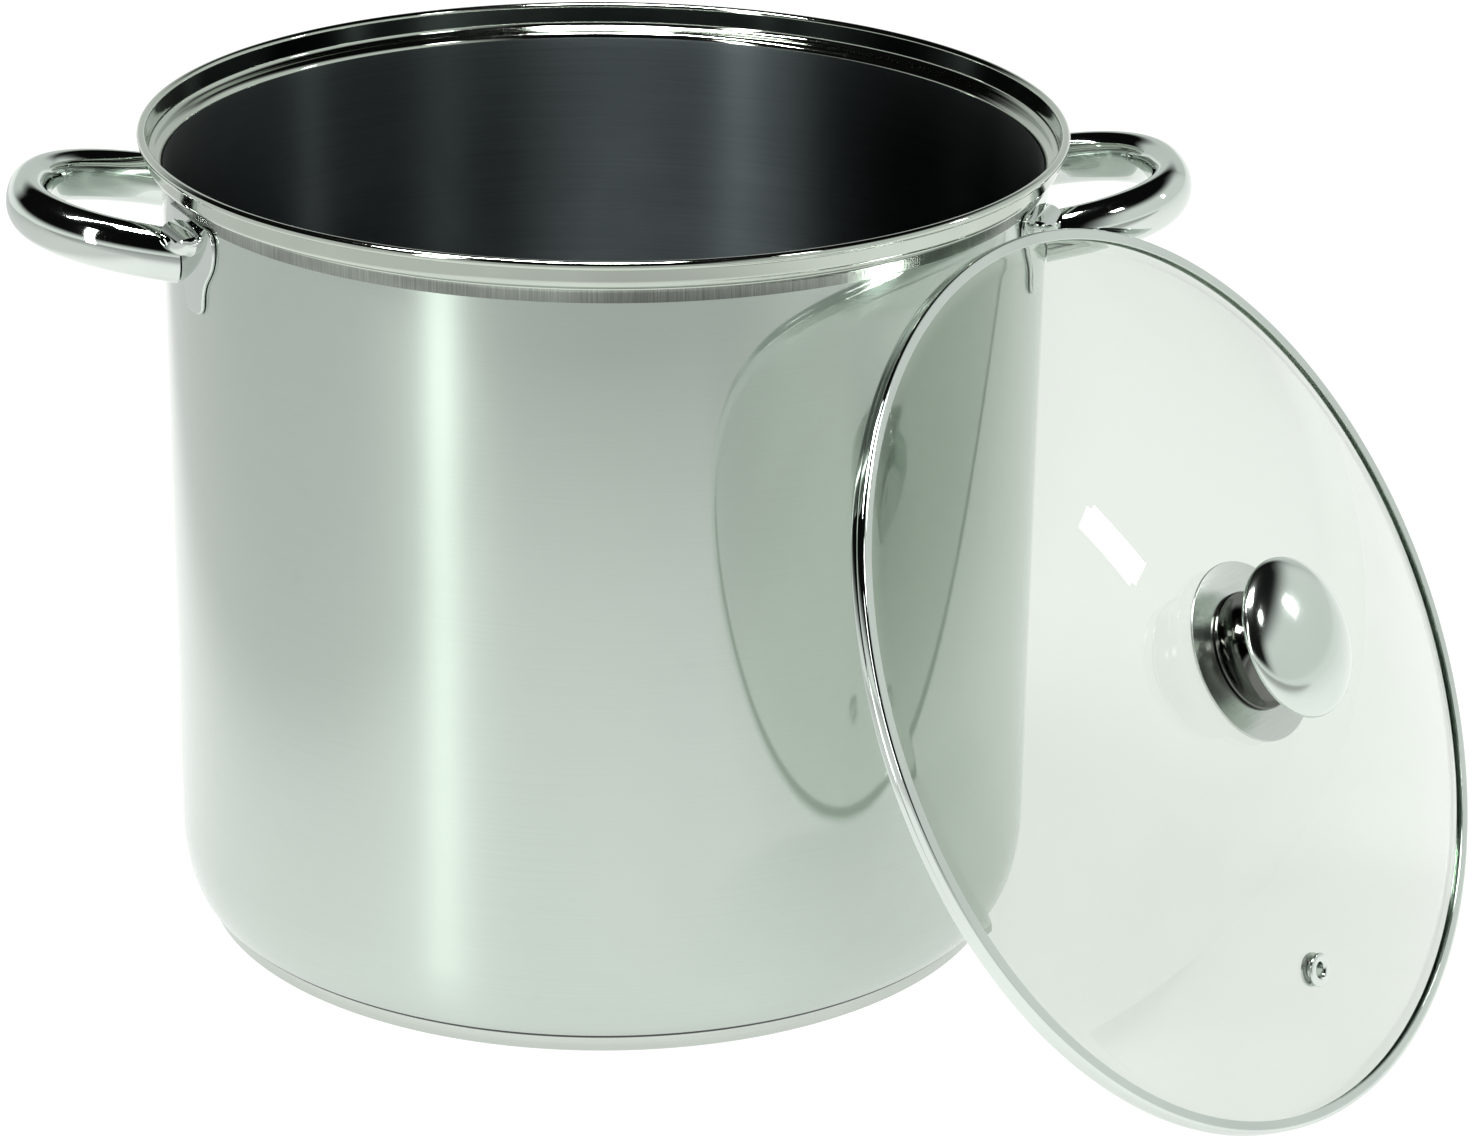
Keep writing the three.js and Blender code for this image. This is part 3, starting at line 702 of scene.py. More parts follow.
@dataclass
class PotShell:
    """Deep-drawn shell with a lid-seat ring and a rolled bead."""

    finishes: Finishes
    sheet: float = 0.8 * MM
    wall_radius: float = 153 * MM
    corner: Point2 = (8.7 * MM, 26.6 * MM)
    seat_step: float = 5.6 * MM
    seat_depth: float = 9.4 * MM
    roll: float = 1.2 * MM
    roll_degrees: float = 265.0
    seam: float = 2.1 * MM
    # Height of the band at the foot that carries painted shade.
    shoulder: float = 3.4 * MM
    rim_share: float = 0.6
    upward: float = 0.5
    level: float = 1e-6
    floor_rings: tuple[float, ...] = (0.0, 0.5, 0.97)
    corner_steps: int = 40
    straight_steps: int = 8
    bend_steps: int = 7
    roll_steps: int = 16

    def outline(self) -> list[Point2]:
        """Closed outline of the shell in radius and height.

        Returns:
            The outline, starting and ending on the axis.
        """
        low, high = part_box("pot_body")
        bottom, top = low[2], high[2]
        half = self.sheet / 2
        wall = self.wall_radius - half
        run, rise = self.corner[0] - half, self.corner[1] - half
        seat = top - self.seat_depth - half
        bend = self.seat_step / 2
        foot = seat - bend
        ring = wall + self.seat_step
        bead = top - half - self.roll
        floor = bottom + half
        path = [((wall - run) * share, floor) for share in self.floor_rings]
        path += arc((wall - run, floor + rise), (run, rise), -90, 0, self.corner_steps)
        start, steps = floor + rise, self.straight_steps
        path += [(wall, start + (foot - start) * i / steps) for i in range(1, steps)]
        path += [(wall, foot - self.shoulder)]
        turn, curl = (bend, bend), (self.roll, self.roll)
        path += arc((wall + bend, foot), turn, 180, 90, self.bend_steps)
        path += arc((wall + bend, seat + bend), turn, -90, 0, self.bend_steps)[1:]
        end = 180 - self.roll_degrees
        path += arc((ring + self.roll, bead), curl, 180, end, self.roll_steps)
        return sheet(path, self.sheet)

    def build(self) -> None:
        """Build and dress the shell, with a finish of its own for each region, three of them with
        painted shade.
        """
        finishes = self.finishes
        outline = [(max(r, 0.0), z) for r, z in self.outline()]
        shell = revolve("pot_shell", outline, Round.POT, sharp=60.0)
        dress(shell, finishes.brushed, "brushed_steel", "pot", "pot_body")
        for finish in (finishes.inside, finishes.rim, finishes.seam, finishes.crimp):
            shell.data.materials.append(finish)
        inside, rim, seam, crimp = range(1, 5)
        low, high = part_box("pot_body")
        ring_foot = high[2] - self.seat_depth - self.seat_step
        for face in shell.data.polygons:
            height = face.center.z
            outward = face.normal.x * face.center.x + face.normal.y * face.center.y
            upward = face.normal.z > self.upward and height < ring_foot
            inner = upward or outward < -self.level
            if height > ring_foot + self.rim_share * self.seat_step:
                face.material_index = rim
            # Inner faces take the painted shade of the inside.
            elif inner:
                face.material_index = inside
            # Faces at the foot take the painted shade of the wedge against the base cup.
            elif height < low[2] + self.seam:
                face.material_index = seam
            # Shoulder faces under the seat ring take the crimp marks with painted shade.
            elif height > ring_foot - self.shoulder:
                face.material_index = crimp


@dataclass
class EncapsulatedBase:
    """Steel cup over the heat-spreading disc."""

    finishes: Finishes
    sheet: float = 0.8 * MM
    edge: float = 1.6 * MM
    foot: float = 2.24 * MM
    lip: Point2 = (0.25 * MM, 0.1 * MM)
    middle_ring: float = 0.6

    def build(self) -> None:
        """Build the cup with a rounded lower edge and finish the disc."""
        low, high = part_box("base_cap")
        radius, bottom, top = high[0], low[2], high[2]
        inner, inside = radius - self.sheet, bottom + self.sheet
        corners = [
            (radius, bottom, self.foot),
            (radius, top, self.lip[0]),
            (inner, top, self.lip[1]),
            (inner, inside, self.edge),
        ]
        turned = [(0.0, bottom), (radius * self.middle_ring, bottom)] + rounded(corners, 6)
        turned += [(inner * self.middle_ring, inside), (0.0, inside)]
        cup = revolve("base_cup", turned, Round.POT, sharp=60.0)
        dress(cup, self.finishes.base, "brushed_steel", "pot", "base_cap")
        disc = bpy.data.objects["base_heat_disc"]
        disc.data.materials.clear()
        disc.data.materials.append(self.finishes.aluminium)


# --- handles


@dataclass
class LoopHandle:
    """One hollow loop handle with its two wall brackets."""

    finishes: Finishes
    side: str
    turn: float
    wall: float = 153 * MM
    height: float = 253.8 * MM
    half_span: float = 42.4 * MM
    reach: float = 52.8 * MM
    tilt: float = 10.2
    squareness: float = 2.36
    tube: Point2 = (7.2 * MM, 9.3 * MM)
    bracket_sheet: float = 1.2 * MM
    gap: float = 0.3 * MM
    boss: tuple[float, float, float] = (10.5 * MM, 6.5 * MM, 7.6 * MM)
    boss_raise: float = 5 * MM
    boss_middle: float = 20.2
    plate: Point2 = (11.5, 28.5)
    plate_heights: Point2 = (247.5 * MM, 271.5 * MM)
    tongue_middle: float = 22.4
    tongue_half: float = 2.6
    tongue_drop: float = 8 * MM
    edge: float = 0.3 * MM
    clearance: float = 0.5 * MM
    loop_steps: int = 72
    ear_rings: int = 40

    def place(self) -> Matrix:
        """Turn about the pot's axis from +X to this handle's middle plane."""
        return Matrix.Rotation(math.radians(self.turn), 4, "Z")

    def loop(self) -> None:
        """Build the polished tube, its ends shaped to the wall."""
        leg = math.sqrt(self.wall**2 - self.half_span**2)
        power = 2 / self.squareness
        plane = (
            self.place()
            @ Matrix.Translation((leg, 0.0, self.height))
            @ Matrix.Rotation(-math.radians(self.tilt), 4, "Y")
        )
        points: list[Vector] = []
        for i in range(1, self.loop_steps):
            a = math.pi * (1 - math.cos(math.pi * i / self.loop_steps)) / 2
            out = self.reach * math.sin(a) ** power
            across = -self.half_span * math.copysign(abs(math.cos(a)) ** power, math.cos(a))
            points.append(plane @ Vector((out, across, 0.0)))
        ends = [plane @ Vector((-2 * self.tube[0], s * self.half_span, 0.0)) for s in (-1, 1)]
        path = [ends[0], *points, ends[1]]
        radius = self.wall + self.bracket_sheet + 2 * self.gap

        def to_wall(point: Vector, along: Vector) -> Vector:
            """Slide a point along the leg to the wall's curve."""
            flat, line = point.xy, along.xy
            a, b, c = line.dot(line), 2 * flat.dot(line), flat.dot(flat) - radius**2
            root = math.sqrt(max(b * b - 4 * a * c, 0.0))
            shifts = [(-b + root) / (2 * a), (-b - root) / (2 * a)]
            return point + along * min(shifts, key=abs)

        kept = [p for p in path if p.xy.length > radius + self.clearance]
        up = (plane.to_3x3() @ UP).normalized()
        section = ellipse(self.tube, Round.TUBE)
        tube = sweep(f"handle_{self.side}_tube", section, kept, up, to_wall)
        dress(tube, self.finishes.polished, "polished_steel", "pot", f"handle_{self.side}_loop")

    def ear_outline(self) -> list[Point2]:
        """Outline of a bracket's plate and its hanging tongue.

        Returns:
            Points as distance along the wall and height.
        """
        scale = math.radians(1) * self.wall
        near, far = (a * scale for a in self.plate)
        low, high = self.plate_heights
        left = (self.tongue_middle - self.tongue_half) * scale
        right = (self.tongue_middle + self.tongue_half) * scale
        foot = low - self.tongue_drop
        middle = (low + high) / 2
        return rounded([
            (near, low, 9 * MM),
            (left, low - 1 * MM, 3 * MM),
            (left + 1 * MM, foot, 8 * MM),
            (right, foot, 8 * MM),
            (right + 1 * MM, low + 2 * MM, 4 * MM),
            (far, middle, 8 * MM),
            (far, high, 9 * MM),
            (near, high, 9 * MM),
        ], 12)

    def bracket(self, end: str, way: int) -> None:
        """Build one pressed bracket as a sheet standing on the wall.

        Args:
            end: Which bracket, ``front`` or ``rear``.
            way: Side of the handle's middle plane, -1 or 1.
        """
        low, high = self.plate_heights
        scale = math.radians(1) * self.wall
        outline = self.ear_outline()
        centre = Vector(((self.plate[0] + self.plate[1]) / 2 * scale, (low + high) / 2))
        turn = self.place()
        around, rings = len(outline), self.ear_rings

        def lift(u: float, z: float) -> float:
            """Height of the pressed boss above the plate."""
            a = (u - self.boss_middle * scale) / self.boss[0]
            b = (z - centre.y - self.boss_raise) / self.boss[1]
            d = a * a + b * b
            return self.boss[2] * math.sqrt(1 - d) if d < 1 else 0.0

        def on_wall(u: float, z: float, out: float) -> Vector:
            """Point at an arc length, a height and a distance off the wall."""
            angle = way * u / self.wall
            r = self.wall + self.gap + out
            return turn @ Vector((r * math.cos(angle), r * math.sin(angle), z))

        verts = [on_wall(centre.x, centre.y, self.bracket_sheet + lift(*centre))]
        faces: list[list[int]] = []
        for k in range(1, rings + 3):
            for point in outline:
                reach = Vector(point) - centre
                spot = centre + reach * min(k / rings, 1.0)
                if k == rings:
                    spot -= reach.normalized() * self.edge
                out = self.bracket_sheet + lift(*spot) if k <= rings else 0.0
                if k == rings + 1:
                    out = self.bracket_sheet - self.edge
                verts.append(on_wall(spot.x, spot.y, out))
        for i in range(around):
            n = (i + 1) % around
            faces.append([0, 1 + i, 1 + n])
            for k in range(rings + 1):
                a, b = 1 + k * around, 1 + (k + 1) * around
                faces.append([a + i, b + i, b + n, a + n])
        last = 1 + (rings + 1) * around
        verts.append(on_wall(centre.x, centre.y, 0.0))
        faces += [[last + i, len(verts) - 1, last + (i + 1) % around] for i in range(around)]
        name = f"handle_{self.side}_{end}"
        plate = add_piece(name + "_ear", verts, faces, 50.0)
        dress(plate, self.finishes.polished, "polished_steel", "pot", name + "_bracket")

    def build(self) -> None:
        """Build the loop and both brackets."""
        self.loop()
        front = -1 if math.cos(math.radians(self.turn)) > 0 else 1
        self.bracket("front", front)
        self.bracket("rear", -front)


# --- lid


@dataclass
class LidFrame:
    """The leaning lid's own frame: dome up, origin in the middle of its flat underside."""

    band_height: float = 6 * MM

    def matrix(self, joints: Sequence[dict]) -> Matrix:
        """Work out the frame from the lid's joint and its band.

        Args:
            joints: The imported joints.

        Returns:
            Matrix from the lid's frame to the model's.
        """
        axis = next(Vector(j["axis"]) for j in joints if j["child"] == "lid").normalized()
        across = UP.cross(axis).normalized()
        down = across.cross(axis)
        low, high = (Vector(c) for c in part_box("lid_rim_band"))
        origin = (low + high) / 2 - axis * self.band_height / 2
        turn = Matrix((down, across, axis)).transposed().to_4x4()
        return Matrix.Translation(origin) @ turn


@dataclass
class GlassLid:
    """Domed glass in its rolled steel band, with the steam vent."""

    finishes: Finishes
    place: Matrix
    radius: float = 154.4 * MM
    band_height: float = 6 * MM
    band_sheet: float = 0.6 * MM
    band_lip: float = 4 * MM
    groove: float = 0.15 * MM
    groove_shares: tuple[float, float, float] = (0.44, 0.5, 0.56)
    glass: float = 4 * MM
    flat: float = 4.6 * MM
    rise: float = 27 * MM
    bore: float = 4.5 * MM
    vent_distance: float = 106.5 * MM
    vent_turn: float = -6.0
    vent_hole: float = 3.5 * MM
    vent_bore: float = 2.4 * MM
    vent_tube: float = 3.2 * MM
    vent_flange: float = 5.7 * MM
    vent_sheet: float = 1 * MM
    gap: float = 0.3 * MM
    dome_steps: int = 40

    @property
    def edge(self) -> float:
        """Outer radius of the glass."""
        return self.radius - self.band_sheet - self.gap

    @property
    def rim(self) -> float:
        """Radius where the dome starts."""
        return self.edge - self.flat

    @property
    def sphere(self) -> float:
        """Radius of the dome's sphere."""
        return (self.rim**2 + self.rise**2) / (2 * self.rise)

    def dome(self, distance: float) -> float:
        """Height of the dome's upper face at a distance from the axis."""
        top = (self.band_height + self.glass) / 2 + self.rise
        return top - self.sphere + math.sqrt(self.sphere**2 - distance**2)

    def build_glass(self) -> None:
        """Build the glass, cut for the vent, with ground edges."""
        steps, half = self.dome_steps, self.glass / 2
        radii = [self.bore + (self.rim - self.bore) * (i / steps) for i in range(steps + 1)]
        upper = [(r, self.dome(r)) for r in radii]
        lower = [(r, z - self.glass) for r, z in upper][::-1]
        edge = arc((self.edge - half, self.band_height / 2), (half, half), 90, -90, 8)
        body = revolve("lid_dome", upper + edge + lower, Round.GLASS, self.place, sharp=50.0)
        deep, proud = -2 * self.glass, self.glass
        drill = [(0, deep), (self.vent_hole, deep), (self.vent_hole, proud), (0, proud)]
        hole = revolve("vent_cutter", drill, Round.DRILL, self.vent_place())
        cut = body.modifiers.new("vent_bore", "BOOLEAN")
        cut.operation, cut.solver, cut.object = "DIFFERENCE", "EXACT", hole
        with bpy.context.temp_override(object=body, active_object=body, selected_objects=[body]):
            bpy.ops.object.modifier_apply(modifier=cut.name)
        bpy.data.objects.remove(hole)
        dress(body, self.finishes.glass, "tempered_glass", "lid", "lid_glass")

    def build_band(self) -> None:
        """Build the band as a rolled channel with a crimped lip."""
        inner, outer, top = self.radius - self.band_lip, self.radius, self.band_height
        low, high, slot = self.band_sheet, top - self.band_sheet, outer - self.band_sheet
        soft, tight, turn, crimp, bend = 0.25 * MM, 0.1 * MM, 0.8 * MM, 0.2 * MM, 1.3 * MM
        below, middle, above = (top * share for share in self.groove_shares)
        outline = rounded([
            (inner, 0.0, soft),
            (outer, 0.0, bend),
            (outer, below, crimp),
            (outer - self.groove, middle, crimp),
            (outer, above, crimp),
            (outer, top, bend),
            (inner, top, soft),
            (inner, high, tight),
            (slot, high, turn),
            (slot, low, turn),
            (inner, low, tight),
        ], 5)
        band = revolve("lid_band", outline, Round.BAND, self.place, sharp=50.0)
        dress(band, self.finishes.polished, "polished_steel", "lid", "lid_rim_band")

    def vent_place(self) -> Matrix:
        """Frame of the vent, square to the glass at its upper face."""
        turn = math.radians(self.vent_turn)
        spot = Vector((
            self.vent_distance * math.cos(turn),
            self.vent_distance * math.sin(turn),
            self.dome(self.vent_distance),
        ))
        lean = Matrix.Rotation(math.asin(self.vent_distance / self.sphere), 4, "Y")
        return self.place @ Matrix.Translation(spot) @ Matrix.Rotation(turn, 4, "Z") @ lean

    def build_vent(self) -> None:
        """Build the rolled eyelet and the ring clinched behind the glass."""
        bore, tube, flange = self.vent_bore, self.vent_tube, self.vent_flange
        foot = -(self.glass + 2 * self.gap + self.vent_sheet)
        top = self.gap + self.vent_sheet
        eyelet = [
            (bore, foot, 0.2 * MM),
            (tube, foot, 0.2 * MM),
            (tube, self.gap, 0.1 * MM),
            (flange, self.gap, 0.3 * MM),
            (flange - 0.1 * MM, top * 0.8, 0.5 * MM),
            (flange - 1.2 * MM, top, 0.6 * MM),
            (bore + 0.6 * MM, top, 0.6 * MM),
            (bore, top - 0.8 * MM, 0.5 * MM),
        ]
        behind, hole = -self.glass - self.gap, tube + self.gap
        ring = [
            (hole, behind - self.vent_sheet, 0.3 * MM),
            (flange, behind - self.vent_sheet, 0.4 * MM),
            (flange, behind, 0.2 * MM),
            (hole, behind, 0.1 * MM),
        ]
        for name, corners, node in (
            ("vent_eyelet", eyelet, "lid_vent_eyelet"),
            ("vent_clinch_ring", ring, "lid_vent_backing_ring"),
        ):
            outline = rounded(corners, 5)
            piece = revolve(name, outline, Round.VENT, self.vent_place(), sharp=50.0)
            dress(piece, self.finishes.polished, "polished_steel", "lid", node)

    def build(self) -> None:
        """Build the glass, band and vent."""
        self.build_glass()
        self.build_band()
        self.build_vent()


@dataclass
class Knob:
    """Mushroom knob on a flat flange, screwed through the glass."""

    finishes: Finishes
    lid: GlassLid
    gap: float = 0.3 * MM
    gasket: float = 1.2 * MM
    gasket_radius: float = 17 * MM
    flange_radius: float = 30.5 * MM
    flange_sheet: float = 0.8 * MM
    washer_radius: float = 19 * MM
    screw_radius: float = 2.7 * MM
    head_radius: float = 6 * MM
    head_height: float = 2.8 * MM
    screw_reach: float = 10 * MM
    washer_sheet: float = 0.8 * MM
    foot: Point2 = (20 * MM, 1.2 * MM)
    foot_bead: float = 0.6 * MM
    neck_inset: float = 1.6 * MM
    neck_land: float = 3 * MM
    waist: float = 10.5 * MM
    neck_top: float = 13.5 * MM
    neck_height: float = 14.5 * MM
    cap_radius: float = 27 * MM
    cap_skirt: float = 3.2 * MM
    cap_dome: float = 9 * MM
    cap_lip: float = 0.9 * MM
    cap_rim: float = 1.6 * MM
    hollow: float = 1.6

    @property
    def gasket_bottom(self) -> float:
        """Underside of the upper gasket."""
        return self.lid.dome(0.0) + self.gap

    @property
    def flange_bottom(self) -> float:
        """Underside of the flange."""
        return self.gasket_bottom + self.gasket + self.gap

    @property
    def neck_bottom(self) -> float:
        """Underside of the neck."""
        return self.flange_bottom + self.flange_sheet + self.gap

    @property
    def under_top(self) -> float:
        """Top of the gasket below the glass."""
        sag = self.lid.dome(0.0) - self.lid.dome(self.washer_radius)
        return self.lid.dome(0.0) - self.lid.glass - sag - self.gap

    def ring(
        self, name: str, node: str, radii: Point2, heights: Point2, soft: float, *finish: object
    ) -> None:
        """Build and dress a flat ring with rounded edges.

        Args:
            name: Name of the object.
            node: The model's node that it stands for.
            radii: Radius of its hole and its outer radius.
            heights: Heights of its underside and its upper side.
            soft: Rounding of its edges.
            *finish: Its material and the name of the material's slot.
        """
        sides = ((0, 0), (1, 0), (1, 1), (0, 1))
        outline = rounded([(radii[r], heights[z], soft) for r, z in sides])
        ring = revolve(name, outline, Round.DISC, self.lid.place, sharp=50.0)
        dress(ring, *finish, "lid", node)

    def build_cap(self) -> None:
        """Build the mushroom cap with a thin rolled lip and a hollowed underside."""
        bottom = self.neck_bottom + self.neck_height + self.gap
        widest = bottom + self.cap_skirt
        lip, neck = self.cap_lip, self.neck_top
        spread, drop = self.cap_radius - self.cap_rim - neck, self.cap_skirt - lip
        outline = [(0.0, bottom), (neck * 0.9, bottom)]
        outline += [
            (neck + spread * t, bottom + drop * t**self.hollow)
            for t in (0.1, 0.25, 0.4, 0.55, 0.7, 0.85, 1.0)
        ]
        outline += arc((self.cap_radius - lip, widest), (lip, lip), -80, 0, 6)
        shoulder = arc((0.0, widest), (self.cap_radius, self.cap_dome), 3, 90, 36)
        outline += [(max(r, 0.0), z) for r, z in shoulder[:-1]] + [(0.0, widest + self.cap_dome)]
        cap = revolve("knob_mushroom", outline, Round.CAP, self.lid.place, sharp=60.0)
        dress(cap, self.finishes.satin, "polished_steel", "lid", "knob_cap")

    def build_neck(self) -> None:
        """Build the dark concave neck with a bead at its foot."""
        bottom, top = self.neck_bottom, self.neck_bottom + self.neck_height
        bore = self.screw_radius + self.gap
        depth = bottom + self.screw_reach + 2 * self.gap
        foot, thick = self.foot
        side, land, bead = foot - self.neck_inset, top - self.neck_land, self.foot_bead
        outline = [(0.0, depth), (bore, depth), (bore, bottom), (foot - bead / 2, bottom)]
        outline += arc((foot - bead, bottom + bead), (bead, bead), -90, 90, 8)
        outline += arc((side, land), (side - self.waist, land - bottom - thick), 270, 180, 24)
        outline += [(self.neck_top, top), (0.0, top)]
        neck = revolve("knob_column", outline, Round.DISC, self.lid.place, sharp=50.0)
        dress(neck, self.finishes.dark_polish, "polished_steel", "lid", "knob_neck")

    def build_screw(self) -> None:
        """Build the pan-head screw with a driver recess."""
        top = self.under_top - self.gasket - self.gap - self.washer_sheet - self.gap
        low = top - self.head_height
        tip = self.neck_bottom + self.screw_reach
        head, shank, bevel = self.head_radius, self.screw_radius, 1 * MM
        edge = top - self.foot_bead
        outline = [(0.0, low + bevel), (head * 0.22, low + bevel)]
        outline += [(head * 0.3, low), (head * 0.62, low)]
        outline += arc((head * 0.6, edge), (head * 0.4, edge - low), -88, 0, 10)
        outline += [(head, top), (shank, top), (shank, tip - bevel)]
        outline += [(shank - bevel, tip), (0.0, tip)]
        screw = revolve("knob_pan_screw", outline, Round.SCREW, self.lid.place, sharp=40.0)
        dress(screw, self.finishes.flange, "brushed_steel", "lid", "knob_screw")

    def build(self) -> None:
        """Build the whole knob stack."""
        silicone = (self.finishes.silicone, "silicone")
        steel = (self.finishes.flange, "brushed_steel")
        seal, disc, under = self.gasket_bottom, self.flange_bottom, self.under_top
        plate = under - self.gasket - self.gap
        seal_radii = (self.lid.bore, self.gasket_radius)
        disc_radii = (self.lid.bore, self.flange_radius)
        plate_radii = (self.screw_radius + self.gap, self.washer_radius)
        soft, crisp = 0.3 * MM, 0.25 * MM
        heights = (seal, seal + self.gasket)
        self.ring("knob_seal_upper", "knob_upper_gasket", seal_radii, heights, soft, *silicone)
        heights = (disc, disc + self.flange_sheet)
        self.ring("knob_disc", "knob_flange", disc_radii, heights, crisp, *steel)
        self.build_neck()
        self.build_cap()
        heights = (under - self.gasket, under)
        self.ring("knob_seal_lower", "knob_lower_gasket", seal_radii, heights, soft, *silicone)
        heights = (plate - self.washer_sheet, plate)
        self.ring("knob_plate_washer", "knob_washer", plate_radii, heights, crisp, *steel)
        self.build_screw()


# --- rack


@dataclass
class JarRack:
    """Wire rack with feet and two folding bails."""

    finishes: Finishes
    wire: float = 2.2 * MM
    cross: float = 1.9 * MM
    bail_wire: float = 2 * MM
    bail_half: float = 30 * MM
    bail_length: float = 104 * MM
    bail_pin: float = 13 * MM
    bail_corner: float = 12 * MM
    eye_wire: float = 1.2 * MM
    foot_half: float = 16 * MM
    crosses: int = 6
    feet: int = 4

    def section(self, radius: float, steps: int) -> list[Point2]:
        """Round section of a wire."""
        return ellipse((radius, radius), steps)

    def straight(self, name: str, body: str, node: str, along: int) -> None:
        """Replace one straight wire with a round one whose ends are domed.

        Args:
            name: Name of the new object.
            body: Body that it moves with.
            node: The model's node.
            along: Axis that it runs along, 0 or 1.
        """
        low, high = (Vector(c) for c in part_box(node))
        middle = (low + high) / 2
        half = (high[along] - low[along]) / 2
        dome = arc((half - self.cross * 0.5, 0.0), (self.cross * 0.5, self.cross), 0, 90, 6)
        outline = [(0.0, half)] + [(r, x) for x, r in dome[1:]]
        outline += [(r, -x) for r, x in outline[:0:-1]] + [(0.0, -half)]
        turn = Matrix.Rotation(math.pi / 2, 4, "Y" if along == 0 else "X")
        wire = revolve(name, outline, Round.ROD, Matrix.Translation(middle) @ turn)
        dress(wire, self.finishes.wire, "chrome_wire", body, node)

    def ring(self) -> None:
        """Build the outer ring."""
        low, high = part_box("rack_ring")
        radius = high[0] - self.wire
        middle = (low[2] + high[2]) / 2
        outline = [(radius + x, middle + y) for x, y in self.section(self.wire, Round.WIRE)]
        ring = revolve("rack_hoop", outline, Round.HOOP)
        dress(ring, self.finishes.wire, "chrome_wire", "rack", "rack_ring")

    def foot(self, number: int) -> None:
        """Build one bent wire foot.

        Args:
            number: Which foot, counted from 1.
        """
        node = f"rack_foot_{number}"
        low, high = (Vector(c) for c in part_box(node))
        middle = (low + high) / 2
        out = Vector((middle.x, middle.y, 0.0)).normalized()
        side = UP.cross(out)
        half, corner = self.foot_half, 2 * self.cross
        base = out * middle.xy.length
        bottom = low.z + self.cross
        points = [(-half, high.z)]
        points += arc((-half + corner, bottom + corner), (corner, corner), 180, 270, 8)
        points += arc((half - corner, bottom + corner), (corner, corner), 270, 360, 8)
        points += [(half, high.z)]
        path = [base + side * x + UP * z for x, z in points]
        section = self.section(self.cross, Round.FOOT_WIRE)
        piece = sweep(f"rack_leg_{number}", section, path, out)
        dress(piece, self.finishes.wire, "chrome_wire", "rack", node)

    def bail(self, side: str, joints: Sequence[dict]) -> None:
        """Build one folding bail and its two hinge eyes.

        Args:
            side: ``left`` or ``right``.
            joints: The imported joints.
        """
        joint = next(j for j in joints if j["child"] == "bail_" + side)
        hinge = Vector(joint["pos_m"])
        way = -1.0 if hinge.x > 0 else 1.0
        half, bend, corner = self.bail_half, self.bail_corner / 2, self.bail_corner
        far = -self.bail_length + corner
        points = [(0.0, -half - self.bail_pin)]
        points += arc((-bend, -half - bend), (bend, bend), 0, 90, 8)
        points += arc((far, -half + corner), (corner, corner), 270, 180, 10)
        points += arc((far, half - corner), (corner, corner), 180, 90, 10)
        points += arc((-bend, half + bend), (bend, bend), 270, 360, 8)
        points += [(0.0, half + self.bail_pin)]
        path = [hinge + Vector((-way * x, y, 0.0)) for x, y in points]
        section = self.section(self.bail_wire, Round.WIRE)
        piece = sweep(f"rack_swing_{side}", section, path, UP)
        dress(piece, self.finishes.wire, "chrome_wire", "bail_" + side, "rack_bail_" + side)
        for end in ("front", "rear"):
            node = f"rack_eye_{side}_{end}"
            low, high = (Vector(c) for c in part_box(node))
            middle = (low + high) / 2
            radius = (high.z - low.z) / 2 - self.eye_wire
            section = self.section(self.eye_wire, Round.EYE_WIRE)
            outline = [(radius + x, y) for x, y in section]
            turn = Matrix.Rotation(math.pi / 2, 4, "X")
            place = Matrix.Translation(middle) @ turn
            eye = revolve(f"rack_loop_{side}_{end}", outline, Round.EYE, place)
            dress(eye, self.finishes.wire, "chrome_wire", "rack", node)

    def build(self, joints: Sequence[dict]) -> None:
        """Build the whole rack.

        Args:
            joints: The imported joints.
        """
        self.ring()
        for i in range(1, self.crosses + 1):
            self.straight(f"rack_rung_{i}", "rack", f"rack_cross_wire_{i}", 0)
        for side in ("left", "right"):
            self.straight(f"rack_rail_{side}", "rack", f"rack_runner_{side}", 1)
            self.bail(side, joints)
        for number in range(1, self.feet + 1):
            self.foot(number)


# --- studio


@dataclass(frozen=True)
class StripLight:
    """Soft rectangular light that faces the pot, placed by direction in degrees and height."""

    name: str
    azimuth: float
    distance: float
    size: Point2
    height: float
    power: float
    aim_height: float = 0.15

    def build(self) -> None:
        """Stand the light."""
        data = bpy.data.lights.new(self.name, "AREA")
        data.shape, data.energy = "RECTANGLE", self.power
        data.size, data.size_y = self.size
        light = bpy.data.objects.new(self.name, data)
        a = math.radians(self.azimuth)
        spot = Vector((self.distance * math.cos(a), self.distance * math.sin(a), self.height))
        aim = UP * self.aim_height - spot
        turn = aim.to_track_quat("-Z", "Y").to_matrix().to_4x4()
        light.matrix_world = Matrix.Translation(spot) @ turn
        bpy.context.scene.collection.objects.link(light)


